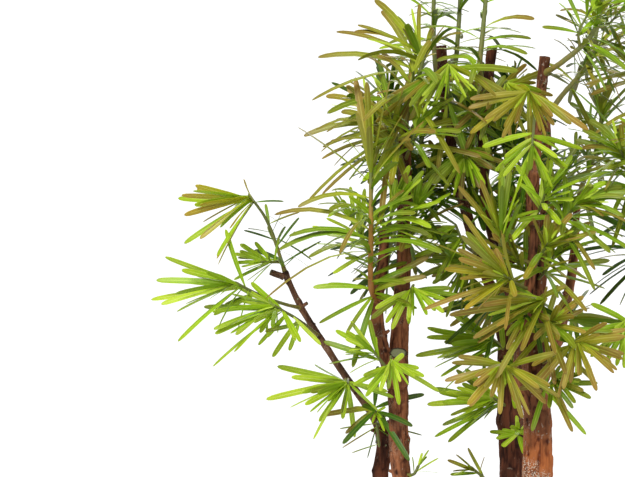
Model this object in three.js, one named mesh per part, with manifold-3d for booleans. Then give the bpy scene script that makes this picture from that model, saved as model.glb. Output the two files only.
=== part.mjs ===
// Potted yew plum pine: a clump of seven stems from one root, cut back hard and in new leaf, in a plain round pot.
// Millimetres, +Z up. The origin is the centre of the pot's flat underside; +Y points away from the front view.
// Limbs and shoots are placed on a front drawing of the plant: "across" runs right and "down" runs down in drawing
// units, "away" is the depth behind the pot's axis in millimetres (minus is towards the viewer).
import * as THREE from 'three';
import { mergeVertices } from 'three/addons/utils/BufferGeometryUtils.js';
import Module from 'manifold-3d';

const wasm = await Module();
wasm.setup();

// ---------------------------------------------------------------- driving sizes
const UNIT = 0.9;            // millimetres per drawing unit in the plane through the pot's axis
const EYE = { across: 312.5, down: 238.5, x: -191.25, z: 540.35, distance: 1600 };

const POT = {
  height: 230, rimRadius: 150, rimHeight: 27, rimProud: 5, wall: 7, floor: 9, baseRadius: 112, edge: 2.5,
  holeRadius: 6, holeCircle: 60, holes: 4, sides: 30,
};
const SOIL = { top: 215, gap: 0.35 };
const SEAT = 0.3;            // gap between a piece and what carries it
const CROWN_ROOT = { x: 2, y: 10, radius: 27, cut: SOIL.top + SEAT };
const LEAF = { width: 6.6, thick: 1.1, widest: 0.62, rootWidth: 2.0, rootShare: 0.12, twist: 64, arch: 0.13, flat: 0.7, toSun: 0.8 };
const FULLNESS = 0.88;       // share of the leaves listed for each set that the solids carry
const TURN = 137.5;          // degrees from one leaf to the next round a shoot

// ---------------------------------------------------------------- small helpers
const V = (x, y, z) => new THREE.Vector3(x, y, z);
const mix = (a, b, t) => a + (b - a) * t;
const smooth = (a, b, t) => { const k = Math.min(1, Math.max(0, (t - a) / (b - a))); return k * k * (3 - 2 * k); };

// a point of the front drawing at a depth, in millimetres
function drawn([across, down, away]) {
  const k = UNIT * (EYE.distance + away) / EYE.distance;
  return V(EYE.x + (across - EYE.across) * k, away, EYE.z + (EYE.down - down) * k);
}

// repeatable random numbers from a whole-number seed
function seeded(seed) {
  let a = seed >>> 0;
  return () => {
    a = (a + 0x6D2B79F5) >>> 0;
    let t = a;
    t = Math.imul(t ^ (t >>> 15), t | 1);
    t ^= t + Math.imul(t ^ (t >>> 7), t | 61);
    return ((t ^ (t >>> 14)) >>> 0) / 4294967296;
  };
}

// closed mesh from rings of points, each counterclockwise about the path; it may end in a point
function loft(rings) {
  const points = [], faces = [], n = rings[0].length;
  const start = rings.map((ring) => { const at = points.length; points.push(...ring); return at; });
  for (let j = 1; j < n - 1; j++) faces.push(start[0], start[0] + j + 1, start[0] + j);
  for (let i = 0; i < rings.length - 1; i++) {
    const a = start[i], b = start[i + 1], pointed = rings[i + 1].length === 1;
    for (let j = 0; j < n; j++) {
      const k = (j + 1) % n;
      if (pointed) faces.push(a + j, a + k, b);
      else faces.push(a + j, a + k, b + k, a + j, b + k, b + j);
    }
  }
  const end = start[rings.length - 1];
  if (rings[rings.length - 1].length === n) for (let j = 1; j < n - 1; j++) faces.push(end, end + j, end + j + 1);
  const g = new THREE.BufferGeometry();
  g.setAttribute('position', new THREE.Float32BufferAttribute(points.flatMap((p) => [p.x, p.y, p.z]), 3));
  g.setIndex(faces);
  return g;
}

// manifold-3d solid of a closed three.js geometry
function solid(geometry) {
  const bare = geometry.clone();
  bare.deleteAttribute('normal');
  bare.deleteAttribute('uv');
  const whole = mergeVertices(bare, 1e-4), index = whole.index.array, kept = [];
  for (let i = 0; i < index.length; i += 3) {
    const [a, b, c] = [index[i], index[i + 1], index[i + 2]];
    if (a !== b && b !== c && c !== a) kept.push(a, b, c);
  }
  return new wasm.Manifold(new wasm.Mesh({
    numProp: 3,
    vertProperties: new Float32Array(whole.attributes.position.array),
    triVerts: new Uint32Array(kept),
  }));
}

function geometryOf(body) {
  const mesh = body.getMesh();
  const g = new THREE.BufferGeometry();
  g.setAttribute('position', new THREE.Float32BufferAttribute(mesh.vertProperties, 3));
  g.setIndex(withoutSlivers(mesh.vertProperties, Array.from(mesh.triVerts)));
  g.computeVertexNormals();
  return g;
}

// Makes one of any two joined corners closer than "least", then turns the long edge of each sliver, whose far corner all
// but lies on that edge, to the far corner of the face beside it: no face is then a hair's breadth high.
function withoutSlivers(xyz, index, least = 0.02) {
  const at = (i) => V(xyz[3 * i], xyz[3 * i + 1], xyz[3 * i + 2]);
  const height = (a, b, c) => {
    const [p, q, r] = [at(a), at(b), at(c)], edge = Math.max(p.distanceTo(q), q.distanceTo(r), r.distanceTo(p));
    return q.clone().sub(p).cross(r.clone().sub(p)).length() / edge;
  };
  const faces = [];
  for (let i = 0; i < index.length; i += 3) faces.push(index.slice(i, i + 3));
  const beside = (v) => new Set(faces.filter((f) => f.includes(v)).flat().filter((w) => w !== v));
  for (let i = 0; i < faces.length; i++) for (let k = 0; k < 3; k++) {
    const a = faces[i][k], b = faces[i][(k + 1) % 3];
    if (at(a).distanceTo(at(b)) >= least) continue;
    const near = beside(a);
    if ([...beside(b)].filter((v) => near.has(v)).length !== 2) continue;
    for (const f of faces) f.forEach((v, j) => { if (v === b) f[j] = a; });
    for (let j = faces.length - 1; j >= 0; j--) if (new Set(faces[j]).size < 3) faces.splice(j, 1);
    i = -1;
    break;
  }
  const owner = new Map(), key = (a, b) => `${a},${b}`;
  const enter = (f) => f.forEach((v, k) => owner.set(key(v, f[(k + 1) % 3]), f));
  faces.forEach(enter);
  for (let pass = 0; pass < 4; pass++) for (const face of faces) {
    const h = height(...face);
    if (h >= least) continue;
    const spans = face.map((v, k) => at(v).distanceTo(at(face[(k + 1) % 3])));
    const k = spans.indexOf(Math.max(...spans)), a = face[k], b = face[(k + 1) % 3], c = face[(k + 2) % 3];
    const other = owner.get(key(b, a)), d = other.find((v) => v !== a && v !== b);
    if (d === c || owner.has(key(c, d)) || owner.has(key(d, c))) continue;
    if (Math.min(height(a, d, c), height(d, b, c)) <= Math.min(h, height(...other))) continue;
    [key(a, b), key(b, a)].forEach((edge) => owner.delete(edge));
    face.splice(0, 3, a, d, c);
    other.splice(0, 3, d, b, c);
    enter(face);
    enter(other);
  }
  return faces.flat();
}

const tidy = (body) => body.asOriginal().simplify(0.08).asOriginal().simplify(0.05);
const touches = (a, b) => { const both = a.intersect(b), hit = !both.isEmpty() && both.volume() > 1e-6; both.delete(); return hit; };
const apart = (a, b) => ['x', 'y', 'z'].some((k) => a.max[k] < b.min[k] || b.max[k] < a.min[k]);
function boxOf(body) {
  const { min, max } = body.boundingBox();
  return new THREE.Box3(V(...min), V(...max));
}

// frames along a curve that don't spin: points, tangents and two cross directions
function framesOf(curve, steps) {
  const out = [];
  let side = null;
  for (let i = 0; i <= steps; i++) {
    const t = i / steps, at = curve.getPointAt(t), along = curve.getTangentAt(t);
    if (!side) side = Math.abs(along.z) < 0.9 ? V(0, 0, 1) : V(1, 0, 0);
    side = side.clone().addScaledVector(along, -side.dot(along)).normalize();
    out.push({ t, at, along, side, other: along.clone().cross(side) });
  }
  return out;
}

// ---------------------------------------------------------------- limbs
// Each limb: centre line on the drawing with its width in drawing units at each mark. Between marks it tapers evenly.
// "on" is the limb it grows from; its foot starts inside that limb and is cut 0.3 mm clear of it.
const LIMBS = [
  { name: 'stem_left', foot: [-95, -14], marks: [[402, 477, -18, 19], [399, 425, -20, 18.5], [398, 360, -20, 17.5], [402, 290, -20, 16], [404, 215, -20, 13], [405, 130, -20, 11]],
    snag: { mark: [398, 382, -24], reach: [-0.02, -0.46, 0.87], length: 30, width: 19 } },
  { name: 'limb_left_front', on: 'stem_left', marks: [[396, 386, -20, 12], [387, 362, -27, 13.5], [379, 338, -31, 13], [377, 300, -31, 12], [383, 262, -30, 11], [385, 229, -30, 10.5]] },
  { name: 'stem_left_rear', foot: [-108, 24], marks: [[381, 477, 27, 15], [384, 444, 26, 14.5], [377, 414, 24, 13]] },
  { name: 'bough_left', on: 'stem_left_rear', marks: [[382, 432, 26, 9], [369, 409, 20, 9], [348, 380, 15, 7.5], [328, 350, 12, 6.8], [300, 305, 10, 6], [285, 272, 9, 5]] },
  { name: 'stem_rear', foot: [-14, 28], marks: [[513, 477, 20, 27], [511, 430, 20, 25], [508, 395, 20, 20], [505, 330, 20, 14], [506, 265, 20, 11], [507, 200, 21, 9], [510, 140, 22, 8]] },
  { name: 'limb_rear_left', on: 'stem_rear', marks: [[504, 345, 20, 9], [488, 282, 14, 10], [467, 216, 8, 11], [455, 165, 5, 10.5], [446, 108, 3, 10], [441, 46, 0, 9]] },
  { name: 'limb_rear_right', on: 'stem_rear', marks: [[505, 318, 20, 8], [498, 262, 4, 9], [487, 208, -5, 10], [483, 160, -8, 10.5], [486, 105, -9, 10.5], [492, 47, -10, 9.5]],
    snag: { mark: [484, 186, -6], reach: [-0.3, 0.1, 0.95], length: 44, width: 6 } },
  { name: 'stem_front', foot: [9, -34], marks: [[537, 477, -45, 27], [537.5, 430, -45, 25.5], [536, 398, -46, 24], [537, 372, -45, 19], [537, 330, -43, 15], [533, 245, -40, 13], [533, 190, -40, 12.5], [537, 125, -41, 11.5], [545, 57, -42, 10]] },
  { name: 'limb_front_left', on: 'stem_front', marks: [[533, 412, -47, 13], [522, 385, -56, 13.5], [522, 335, -62, 11.5], [531, 275, -64, 9.5], [535, 226, -64, 8.5]] },
  { name: 'stem_right', foot: [94, -8], marks: [[641, 477, -10, 19], [644, 430, -12, 18], [647, 360, -12, 17], [645, 300, -12, 15], [650, 220, -12, 13], [655, 125, -12, 11]] },
  { name: 'limb_right_front', on: 'stem_right', marks: [[647, 392, -12, 12], [659, 352, -24, 12.5], [668, 300, -28, 11], [668, 250, -28, 10], [662, 205, -28, 9.5]] },
  { name: 'stem_right_rear', foot: [110, 28], marks: [[661, 477, 34, 15], [658, 444, 36, 14], [665, 414, 34, 12]] },
  { name: 'bough_right', on: 'stem_right_rear', marks: [[660, 432, 36, 9], [673, 408, 30, 9], [696, 376, 24, 7.5], [722, 338, 20, 6.8], [748, 296, 18, 6], [760, 258, 16, 5]] },
  { name: 'stem_back', foot: [14, 74], marks: [[537, 477, 84, 17], [541, 400, 88, 16], [537, 330, 90, 14.5], [542, 250, 92, 12], [547, 170, 94, 10.5], [546, 118, 95, 9.5]] },
  { name: 'limb_back_right', on: 'stem_back', marks: [[540, 392, 88, 10], [560, 330, 112, 11], [572, 270, 122, 9.5], [577, 205, 126, 8.5]] },
  { name: 'limb_back_left', on: 'stem_back', marks: [[540, 372, 88, 9], [515, 318, 108, 10], [500, 262, 120, 9], [492, 208, 124, 8]] },
];

const limbs = new Map();

// centre line, half width along it, and solids of one limb; its marks below the soil line come from its foot
function limbOf(spec) {
  const points = [], halves = [];
  if (spec.foot) {
    const [across, down, away, width] = spec.marks[0], first = drawn([across, down, away]);
    const foot = V(spec.foot[0], spec.foot[1], SOIL.top + 34);
    points.push(foot);
    halves.push(width * UNIT * 0.5 * 1.22);
    points.push(foot.clone().lerp(first, 0.42).add(V(0, 0, 4)));
    halves.push(width * UNIT * 0.5 * 1.07);
  }
  for (const [across, down, away, width] of spec.marks) {
    points.push(drawn([across, down, away]));
    halves.push(width * UNIT * 0.5);
  }
  const curve = new THREE.CatmullRomCurve3(points, false, 'centripetal');
  const at = points.map((p) => nearest(curve, p));
  const half = (t) => {
    let i = 0;
    while (i < at.length - 2 && t > at[i + 1]) i++;
    return mix(halves[i], halves[i + 1], smooth(at[i], at[i + 1], t));
  };
  return { ...spec, curve, half, length: curve.getLength() };
}

// share of the curve's length at which it passes closest to a point
function nearest(curve, point) {
  let best = 0, least = Infinity;
  for (let i = 0; i <= 240; i++) {
    const d = curve.getPointAt(i / 240).distanceToSquared(point);
    if (d < least) { least = d; best = i / 240; }
  }
  return best;
}

// the limb as a faceted tube, a little uneven as old bark is, grown all round by "grow"
function limbSolid(limb, sides, grow = 0, from = 0) {
  const steps = Math.max(3, Math.round(limb.length / 34));
  const random = seeded(limb.name.length * 977 + limb.name.charCodeAt(5) * 31);
  const rings = framesOf(limb.curve, steps).map(({ t, at, along, side, other }, i) => {
    const uneven = 1 + 0.07 * (random() - 0.5), lift = i === 0 ? from : i === steps ? grow : 0;
    return Array.from({ length: sides }, (_, j) => {
      const a = (2 * Math.PI * (j + 0.5 * (i % 2))) / sides, r = limb.half(t) * uneven + grow / Math.cos(Math.PI / sides);
      return at.clone().addScaledVector(side, r * Math.cos(a)).addScaledVector(other, r * Math.sin(a)).addScaledVector(along, lift);
    });
  });
  return solid(loft(rings));
}

function snagSolid(limb, grow) {
  const { mark, reach, length, width } = limb.snag, foot = drawn(mark), way = V(...reach).normalize();
  const stub = { name: 'snag_', length: 50, half: (t) => width * UNIT * 0.5 * (1.12 - 0.12 * t),
    curve: new THREE.LineCurve3(foot, foot.clone().addScaledVector(way, length)) };
  return limbSolid(stub, 8, grow);
}

// ---------------------------------------------------------------- shoots and leaves
// Each mass grows from one limb: its first twig starts on the limb nearest to "start" (or at its end) and passes the
// marks of "way"; later twigs leave the first at the share "from". A set of leaves turns round its twig between two
// shares of its length, opens from the twig by "open" degrees (oldest, youngest), and is pulled down by "droop".
const MASSES = [
  // left-hand bough
  { name: 'leaves_bough_left_tip', on: 'bough_left', at: 'end', tone: 'gold', twigs: [
    { way: [[277, 247, 8], [266, 219, 4], [250, 196, -8]], sets: [
      { n: 14, length: 70, open: [47, 8], span: [0.9, 1], droop: 0.06, aim: [-0.88, -0.2, -0.42] },
      { n: 8, length: 38, open: [64, 50], span: [0.05, 0.55], droop: 0.06 }] },
    { from: 0.12, way: [[274, 262, -2], [263, 262, -8]], sets: [{ n: 6, length: 34, open: [50, 14], span: [0.5, 1], droop: 0.04, aim: [-0.95, -0.2, 0.2] }] }] },
  { name: 'leaves_bough_left_upper', on: 'bough_left', start: [302, 308], tone: 'lime', twigs: [
    { way: [[284, 304, -6], [262, 296, -18], [236, 283, -30]], sets: [
      { n: 13, length: 74, open: [50, 8], span: [0.86, 1], droop: 0.07, aim: [-0.94, -0.22, -0.16] },
      { n: 6, length: 46, open: [50, 30], span: [0.3, 0.82], droop: 0.1, aim: [-0.5, -0.34, -0.8] }] }] },
  { name: 'leaves_bough_left_middle', on: 'bough_left', start: [320, 336], tone: 'lime', twigs: [
    { way: [[300, 321, -14], [275, 306, -34]], sets: [
      { n: 10, length: 68, open: [36, 8], span: [0.82, 1], droop: 0.08, aim: [-0.92, -0.3, -0.22] },
      { n: 7, length: 42, open: [54, 24], span: [0.45, 0.98], droop: 0.06, aim: [0, -0.5, -0.86] }] }] },
  { name: 'leaves_bough_left_low', on: 'bough_left', start: [347, 379], tone: 'lime', twigs: [
    { way: [[348, 383, -24]], sets: [
      { n: 10, length: 62, open: [36, 8], span: [0.7, 1], droop: 0.06, aim: [-0.92, -0.34, -0.14] },
      { n: 8, length: 46, open: [62, 20], span: [0.55, 0.98], droop: 0.06, aim: [0.16, -0.55, -0.8] }] }] },
  // left-hand stem and its front limb
  { name: 'leaves_fork_front', on: 'stem_left', start: [399, 402], tone: 'lime', twigs: [
    { way: [[397, 386, -50], [391, 358, -72]], sets: [{ n: 13, length: 36, open: [78, 16], span: [0.86, 1], droop: 0.12, aim: [0.1, -0.55, -0.83] }] },
    { from: 0.62, way: [[371, 348, -62]], sets: [{ n: 9, length: 42, open: [50, 10], span: [0.6, 1], droop: 0.03, aim: [-0.9, -0.3, 0.32] }] }] },
  { name: 'leaves_stem_left_right', on: 'stem_left', start: [402, 304], tone: 'lime', twigs: [
    { way: [[405, 300, -44], [413, 286, -62]], sets: [{ n: 13, length: 38, open: [76, 14], span: [0.82, 1], droop: 0.14, aim: [0.16, -0.5, -0.86] }] }] },
  { name: 'shoot_left_tall', on: 'limb_left_front', start: [377, 302], tone: 'green', twigs: [
    { way: [[371, 286, -56], [371, 230, -58], [371, 168, -57]], sets: [
      { n: 8, length: 56, open: [80, 66], span: [0.1, 0.42], droop: 0.16 },
      { n: 9, length: 88, open: [68, 50], span: [0.44, 0.74], droop: 0.44 },
      { n: 9, length: 98, open: [48, 10], span: [0.86, 1], droop: 0.05, aim: [0.02, -0.2, 0.98] }] }] },
  { name: 'leaves_left_bright', on: 'limb_left_front', start: [382, 268], tone: 'lime', twigs: [
    { way: [[368, 250, -4], [353, 218, 6]], sets: [{ n: 12, length: 44, open: [64, 12], span: [0.45, 1], droop: 0.04, aim: [-0.35, -0.3, 0.85] }] }] },
  { name: 'crown_left_outer', on: 'stem_left', start: [405, 182], tone: 'olive', twigs: [
    { way: [[394, 152, -10], [371, 112, -4]], sets: [{ n: 15, length: 66, open: [78, 14], span: [0.5, 1], droop: 0.36, aim: [-0.8, -0.2, 0.56] }] }] },
  { name: 'crown_left_top', on: 'stem_left', at: 'end', tone: 'olive', twigs: [
    { way: [[408, 112, -24], [419, 76, -30], [424, 56, -32]], sets: [
      { n: 9, length: 98, open: [50, 10], span: [0.7, 1], droop: 0.32, aim: [-0.76, -0.12, 0.62] },
      { n: 8, length: 84, open: [66, 50], span: [0.2, 0.66], droop: 0.46 }] }] },
  { name: 'crown_left_back', on: 'stem_left', start: [404, 225], tone: 'deep', twigs: [
    { way: [[401, 190, 20], [392, 140, 44], [388, 92, 52]], sets: [
      { n: 14, length: 64, open: [78, 50], span: [0.25, 0.8], droop: 0.42 },
      { n: 8, length: 62, open: [48, 12], span: [0.8, 1], droop: 0.14 }] },
    { from: 0.3, way: [[414, 178, 30], [424, 128, 22]], sets: [{ n: 11, length: 50, open: [88, 20], span: [0.5, 1], droop: 0.2, aim: [0.3, 0.3, 0.8] }] },
    { from: 0.12, way: [[392, 240, 46], [384, 282, 60]], sets: [{ n: 12, length: 56, open: [90, 30], span: [0.55, 1], droop: 0.22, aim: [-0.2, 0.8, 0.3] }] }] },
  // centre: rear stem and its two limbs
  { name: 'shoots_centre_top', on: 'limb_rear_left', start: [446, 112], tone: 'green', twigs: [
    { way: [[438, 84, 22], [434, 45, 26], [434, -30, 24]], sets: [
      { n: 10, length: 64, open: [70, 44], span: [0.3, 0.88], droop: 0.4 }, { n: 6, length: 54, open: [42, 12], span: [0.9, 1], droop: 0.05 }] },
    { from: 0.12, way: [[454, 70, 36], [459, 20, 38], [461, -28, 38]], sets: [
      { n: 8, length: 62, open: [70, 42], span: [0.4, 0.88], droop: 0.4 }, { n: 6, length: 50, open: [40, 12], span: [0.9, 1], droop: 0.05 }] }] },
  { name: 'shoot_centre_right_top', on: 'limb_rear_right', start: [486, 92], tone: 'green', twigs: [
    { way: [[480, 72, -30], [483, 30, -32], [489, -34, -30]], sets: [
      { n: 9, length: 66, open: [72, 46], span: [0.2, 0.8], droop: 0.46 }, { n: 8, length: 60, open: [44, 12], span: [0.82, 1], droop: 0.05 }] }] },
  { name: 'umbrella_centre_top', on: 'limb_rear_left', start: [449, 132], tone: 'bronze', twigs: [
    { way: [[447, 112, -30], [449, 63, -62]], sets: [
      { n: 10, length: 66, open: [84, 50], span: [0.9, 1], droop: 0.24, aim: [0.02, -0.36, -0.93] },
      { n: 3, length: 70, open: [138, 128], span: [0.5, 0.7], droop: 0.1 }] },
    { from: 0.28, way: [[458, 142, -26], [466, 157, -44]], sets: [{ n: 11, length: 42, open: [82, 14], span: [0.66, 1], droop: 0.14, aim: [-0.08, -0.5, -0.86] }] }] },
  { name: 'leaves_rear_left_low', on: 'limb_rear_left', start: [478, 250], tone: 'green', twigs: [
    { way: [[474, 256, -8], [464, 264, -26]], sets: [{ n: 10, length: 42, open: [52, 12], span: [0.5, 1], droop: 0.14, aim: [-0.82, -0.35, -0.45] }] },
    { from: 0.3, way: [[464, 244, -22], [456, 226, -28]], sets: [{ n: 9, length: 40, open: [54, 12], span: [0.55, 1], droop: 0.16, aim: [-0.84, -0.35, -0.4] }] }] },
  { name: 'crown_rear_top', on: 'stem_rear', at: 'end', tone: 'deep', twigs: [
    { way: [[512, 118, 30], [514, 98, 38], [513, 84, 42]], sets: [
      { n: 14, length: 50, open: [80, 54], span: [0.2, 0.85], droop: 0.4 }, { n: 7, length: 30, open: [48, 14], span: [0.86, 1], droop: 0.05 }] },
    { from: 0.1, way: [[498, 122, 54], [488, 110, 80], [486, 90, 92]], sets: [
      { n: 12, length: 54, open: [82, 54], span: [0.3, 0.8], droop: 0.4 }, { n: 7, length: 40, open: [48, 14], span: [0.83, 1], droop: 0.08 }] }] },
  { name: 'plume_centre', on: 'stem_rear', start: [506, 270], tone: 'green', twigs: [
    { way: [[500, 252, -4], [500, 232, -14]], sets: [{ n: 10, length: 72, open: [34, 8], span: [0.3, 1], droop: 0.03, aim: [-0.08, -0.12, 1] }] }] },
  { name: 'umbrella_centre', on: 'limb_front_left', start: [529, 290], tone: 'bronze', twigs: [
    { way: [[517, 284, -82], [505, 276, -94]], sets: [
      { n: 13, length: 58, open: [62, 10], span: [0.7, 1], droop: 0.1, aim: [-0.88, -0.36, 0.08] },
      { n: 4, length: 78, open: [16, 6], span: [0.6, 0.9], droop: 0.04, aim: [-0.72, -0.25, 0.62] }] }] },
  { name: 'umbrella_front_middle', on: 'stem_front', start: [536, 312], tone: 'olive', twigs: [
    { way: [[542, 306, -66], [546, 299, -86]], sets: [{ n: 13, length: 74, open: [56, 10], span: [0.66, 1], droop: 0.1, aim: [-0.9, -0.34, -0.14] }] }] },
  { name: 'leaves_rear_low_left', on: 'stem_rear', start: [505, 352], tone: 'lime', twigs: [
    { way: [[499, 344, 4], [493, 339, -6]], sets: [{ n: 12, length: 72, open: [32, 8], span: [0.3, 1], droop: 0.06, aim: [-0.96, -0.22, -0.12] }] }] },
  { name: 'umbrella_front_low', on: 'limb_front_left', start: [521, 380], tone: 'bronze', twigs: [
    { way: [[511, 371, -82], [503, 362, -94]], sets: [{ n: 16, length: 46, open: [86, 14], span: [0.8, 1], droop: 0.12, aim: [-0.28, -0.5, -0.82] }] }] },
  { name: 'leaves_rear_low_right', on: 'stem_rear', start: [507, 408], tone: 'lime', twigs: [
    { way: [[500, 402, 4], [495, 399, -4]], sets: [{ n: 11, length: 60, open: [34, 8], span: [0.35, 1], droop: 0.06, aim: [-0.95, -0.25, -0.08] }] }] },
  { name: 'sprout_low', on: 'stem_rear', start: [512, 492], tone: 'olive', twigs: [
    { way: [[495, 486, 8], [472, 468, 2]], sets: [{ n: 7, length: 30, open: [60, 20], span: [0.7, 1], droop: 0.04, aim: [-0.8, -0.3, 0.35] }] }] },
  { name: 'umbrella_front_top', on: 'stem_front', start: [539, 112], tone: 'bronze', twigs: [
    { way: [[535, 100, -62], [528, 90, -80]], sets: [{ n: 13, length: 54, open: [82, 12], span: [0.86, 1], droop: 0.14, aim: [-0.14, -0.38, -0.9] }] },
    { from: 0.5, way: [[534, 122, -76], [532, 150, -84]], sets: [{ n: 10, length: 44, open: [88, 20], span: [0.7, 1], droop: 0.16, aim: [0, -0.5, -0.86] }] }] },
  { name: 'crown_front_top', on: 'stem_front', start: [543, 74], tone: 'green', twigs: [
    { way: [[562, 62, -56], [592, 34, -62], [606, -14, -62]], sets: [
      { n: 11, length: 60, open: [74, 48], span: [0.4, 0.8], droop: 0.42 }, { n: 7, length: 58, open: [44, 12], span: [0.82, 1], droop: 0.05 }] }] },
  { name: 'leaves_front_right', on: 'stem_front', start: [536, 235], tone: 'green', twigs: [
    { way: [[556, 226, -58], [578, 204, -76]], sets: [{ n: 14, length: 60, open: [72, 16], span: [0.5, 1], droop: 0.36, aim: [0.6, -0.4, 0.55] }] }] },
  { name: 'umbrella_front_right', on: 'stem_front', start: [538, 366], tone: 'bronze', twigs: [
    { way: [[560, 352, -70], [578, 340, -88]], sets: [{ n: 13, length: 50, open: [86, 14], span: [0.8, 1], droop: 0.14, aim: [0.3, -0.5, -0.8] }] }] },
  // right-hand stems and bough
  { name: 'crown_right_top', on: 'stem_right', at: 'end', tone: 'olive', twigs: [
    { way: [[652, 96, -12], [646, 50, -8], [642, -10, -6]], sets: [
      { n: 14, length: 72, open: [74, 50], span: [0.12, 0.8], droop: 0.44 }, { n: 8, length: 66, open: [44, 12], span: [0.82, 1], droop: 0.05 }] }] },
  { name: 'shoot_right_tall', on: 'limb_right_front', at: 'end', tone: 'green', twigs: [
    { way: [[664, 180, -40], [672, 130, -50], [680, 78, -52]], sets: [
      { n: 15, length: 72, open: [76, 52], span: [0.08, 0.7], droop: 0.42 }, { n: 8, length: 78, open: [46, 10], span: [0.7, 1], droop: 0.12 }] }] },
  { name: 'crown_right_back', on: 'stem_right', start: [648, 245], tone: 'deep', twigs: [
    { way: [[662, 205, 34], [676, 155, 62], [682, 100, 70]], sets: [
      { n: 14, length: 66, open: [78, 50], span: [0.25, 0.8], droop: 0.42 }, { n: 8, length: 60, open: [48, 12], span: [0.82, 1], droop: 0.08 }] }] },
  { name: 'leaves_right_inner', on: 'stem_right', start: [648, 200], tone: 'green', twigs: [
    { way: [[634, 176, -34], [620, 150, -52]], sets: [{ n: 14, length: 58, open: [72, 18], span: [0.5, 1], droop: 0.36, aim: [-0.5, -0.35, 0.65] }] }] },
  { name: 'umbrella_right_fork', on: 'stem_right', start: [646, 345], tone: 'lime', twigs: [
    { way: [[636, 330, -46], [628, 318, -62]], sets: [{ n: 12, length: 42, open: [86, 16], span: [0.8, 1], droop: 0.14, aim: [-0.2, -0.5, -0.84] }] }] },
  { name: 'leaves_bough_right_tip', on: 'bough_right', at: 'end', tone: 'gold', twigs: [
    { way: [[768, 238, 14], [782, 212, 6], [796, 196, -4]], sets: [
      { n: 13, length: 62, open: [46, 8], span: [0.86, 1], droop: 0.05, aim: [0.97, -0.14, -0.06] }, { n: 7, length: 38, open: [76, 60], span: [0.12, 0.7], droop: 0.12 }] }] },
];
// the rest of the right bough and the back of the clump follow the same marks
MASSES.push(
  { name: 'leaves_bough_right_middle', on: 'bough_right', start: [738, 312], tone: 'lime', twigs: [
    { way: [[760, 306, 0], [784, 300, -14]], sets: [{ n: 14, length: 62, open: [52, 10], span: [0.5, 1], droop: 0.1, aim: [0.92, -0.26, -0.1] }] }] },
  { name: 'leaves_bough_right_low', on: 'bough_right', start: [690, 377], tone: 'lime', twigs: [
    { way: [[700, 386, -4], [706, 390, -16]], sets: [{ n: 15, length: 60, open: [72, 12], span: [0.5, 1], droop: 0.16, aim: [0.62, -0.45, -0.6] }] }] },
  { name: 'crown_back_top', on: 'stem_back', at: 'end', tone: 'olive', twigs: [
    { way: [[560, 98, 100], [588, 62, 112], [602, 6, 116]], sets: [
      { n: 15, length: 62, open: [76, 50], span: [0.3, 0.8], droop: 0.42 }, { n: 8, length: 60, open: [44, 12], span: [0.83, 1], droop: 0.05 }] }] },
  { name: 'crown_back_right', on: 'limb_back_right', at: 'end', tone: 'green', twigs: [
    { way: [[582, 186, 134], [596, 150, 146], [604, 108, 150]], sets: [
      { n: 14, length: 64, open: [78, 50], span: [0.15, 0.8], droop: 0.4 }, { n: 7, length: 56, open: [48, 14], span: [0.83, 1], droop: 0.08 }] }] },
  { name: 'crown_back_left', on: 'limb_back_left', at: 'end', tone: 'green', twigs: [
    { way: [[488, 190, 132], [478, 150, 144], [474, 110, 148]], sets: [
      { n: 14, length: 62, open: [78, 50], span: [0.15, 0.8], droop: 0.4 }, { n: 7, length: 54, open: [48, 14], span: [0.83, 1], droop: 0.08 }] }] },
  { name: 'umbrella_back_low', on: 'limb_back_left', start: [512, 300], tone: 'bronze', twigs: [
    { way: [[506, 296, 128], [498, 288, 142]], sets: [{ n: 13, length: 54, open: [86, 16], span: [0.6, 1], droop: 0.16, aim: [-0.15, 0.6, -0.75] }] }] },
  { name: 'leaves_back_low', on: 'limb_back_right', start: [558, 332], tone: 'green', twigs: [
    { way: [[566, 322, 134], [574, 310, 148]], sets: [{ n: 13, length: 54, open: [84, 20], span: [0.6, 1], droop: 0.16, aim: [0.4, 0.7, -0.4] }] }] },
);

// twig's centre line, from inside its limb or its parent twig
function twigCurve(mass, twig, first) {
  const way = twig.way.map(drawn);
  let start;
  if (first) start = first.curve.getPointAt(twig.from);
  else {
    const limb = limbs.get(mass.on);
    const t = mass.at === 'end' ? 1 : nearestDrawn(limb.curve, mass.start);
    start = limb.curve.getPointAt(t);
    if (mass.at === 'end') start.addScaledVector(limb.curve.getTangentAt(1), SEAT);
  }
  return new THREE.CatmullRomCurve3([start, ...way], false, 'centripetal');
}

// share of a curve's length that shows closest to a mark of the front drawing
function nearestDrawn(curve, [across, down]) {
  let best = 0, least = Infinity;
  for (let i = 0; i <= 300; i++) {
    const p = curve.getPointAt(i / 300), k = UNIT * (EYE.distance + p.y) / EYE.distance;
    const d = Math.hypot(EYE.across + (p.x - EYE.x) / k - across, EYE.down - (p.z - EYE.z) / k - down);
    if (d < least) { least = d; best = i / 300; }
  }
  return best;
}

const twigHalf = (length, t) => mix(2.1 + length / 160, 1.8, t);

function twigSolid(curve, grow = 0) {
  const length = curve.getLength(), steps = Math.max(2, Math.min(6, Math.round(length / 26)));
  return solid(loft(framesOf(curve, steps).map(({ t, at, along, side, other }, i) => {
    const r = twigHalf(length, t) + 2 * grow, lift = grow && i === 0 ? -grow : grow && i === steps ? grow : 0;
    return [0, 1, 2].map((j) => {
      const a = (2 * Math.PI * j) / 3 + 0.4;
      return at.clone().addScaledVector(side, r * Math.cos(a)).addScaledVector(other, r * Math.sin(a)).addScaledVector(along, lift);
    });
  })));
}

// where most of the light comes from: leaves turn their faces to it and aimed fans flatten across it
const SUN = V(-0.25, -0.75, 0.61);

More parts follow.
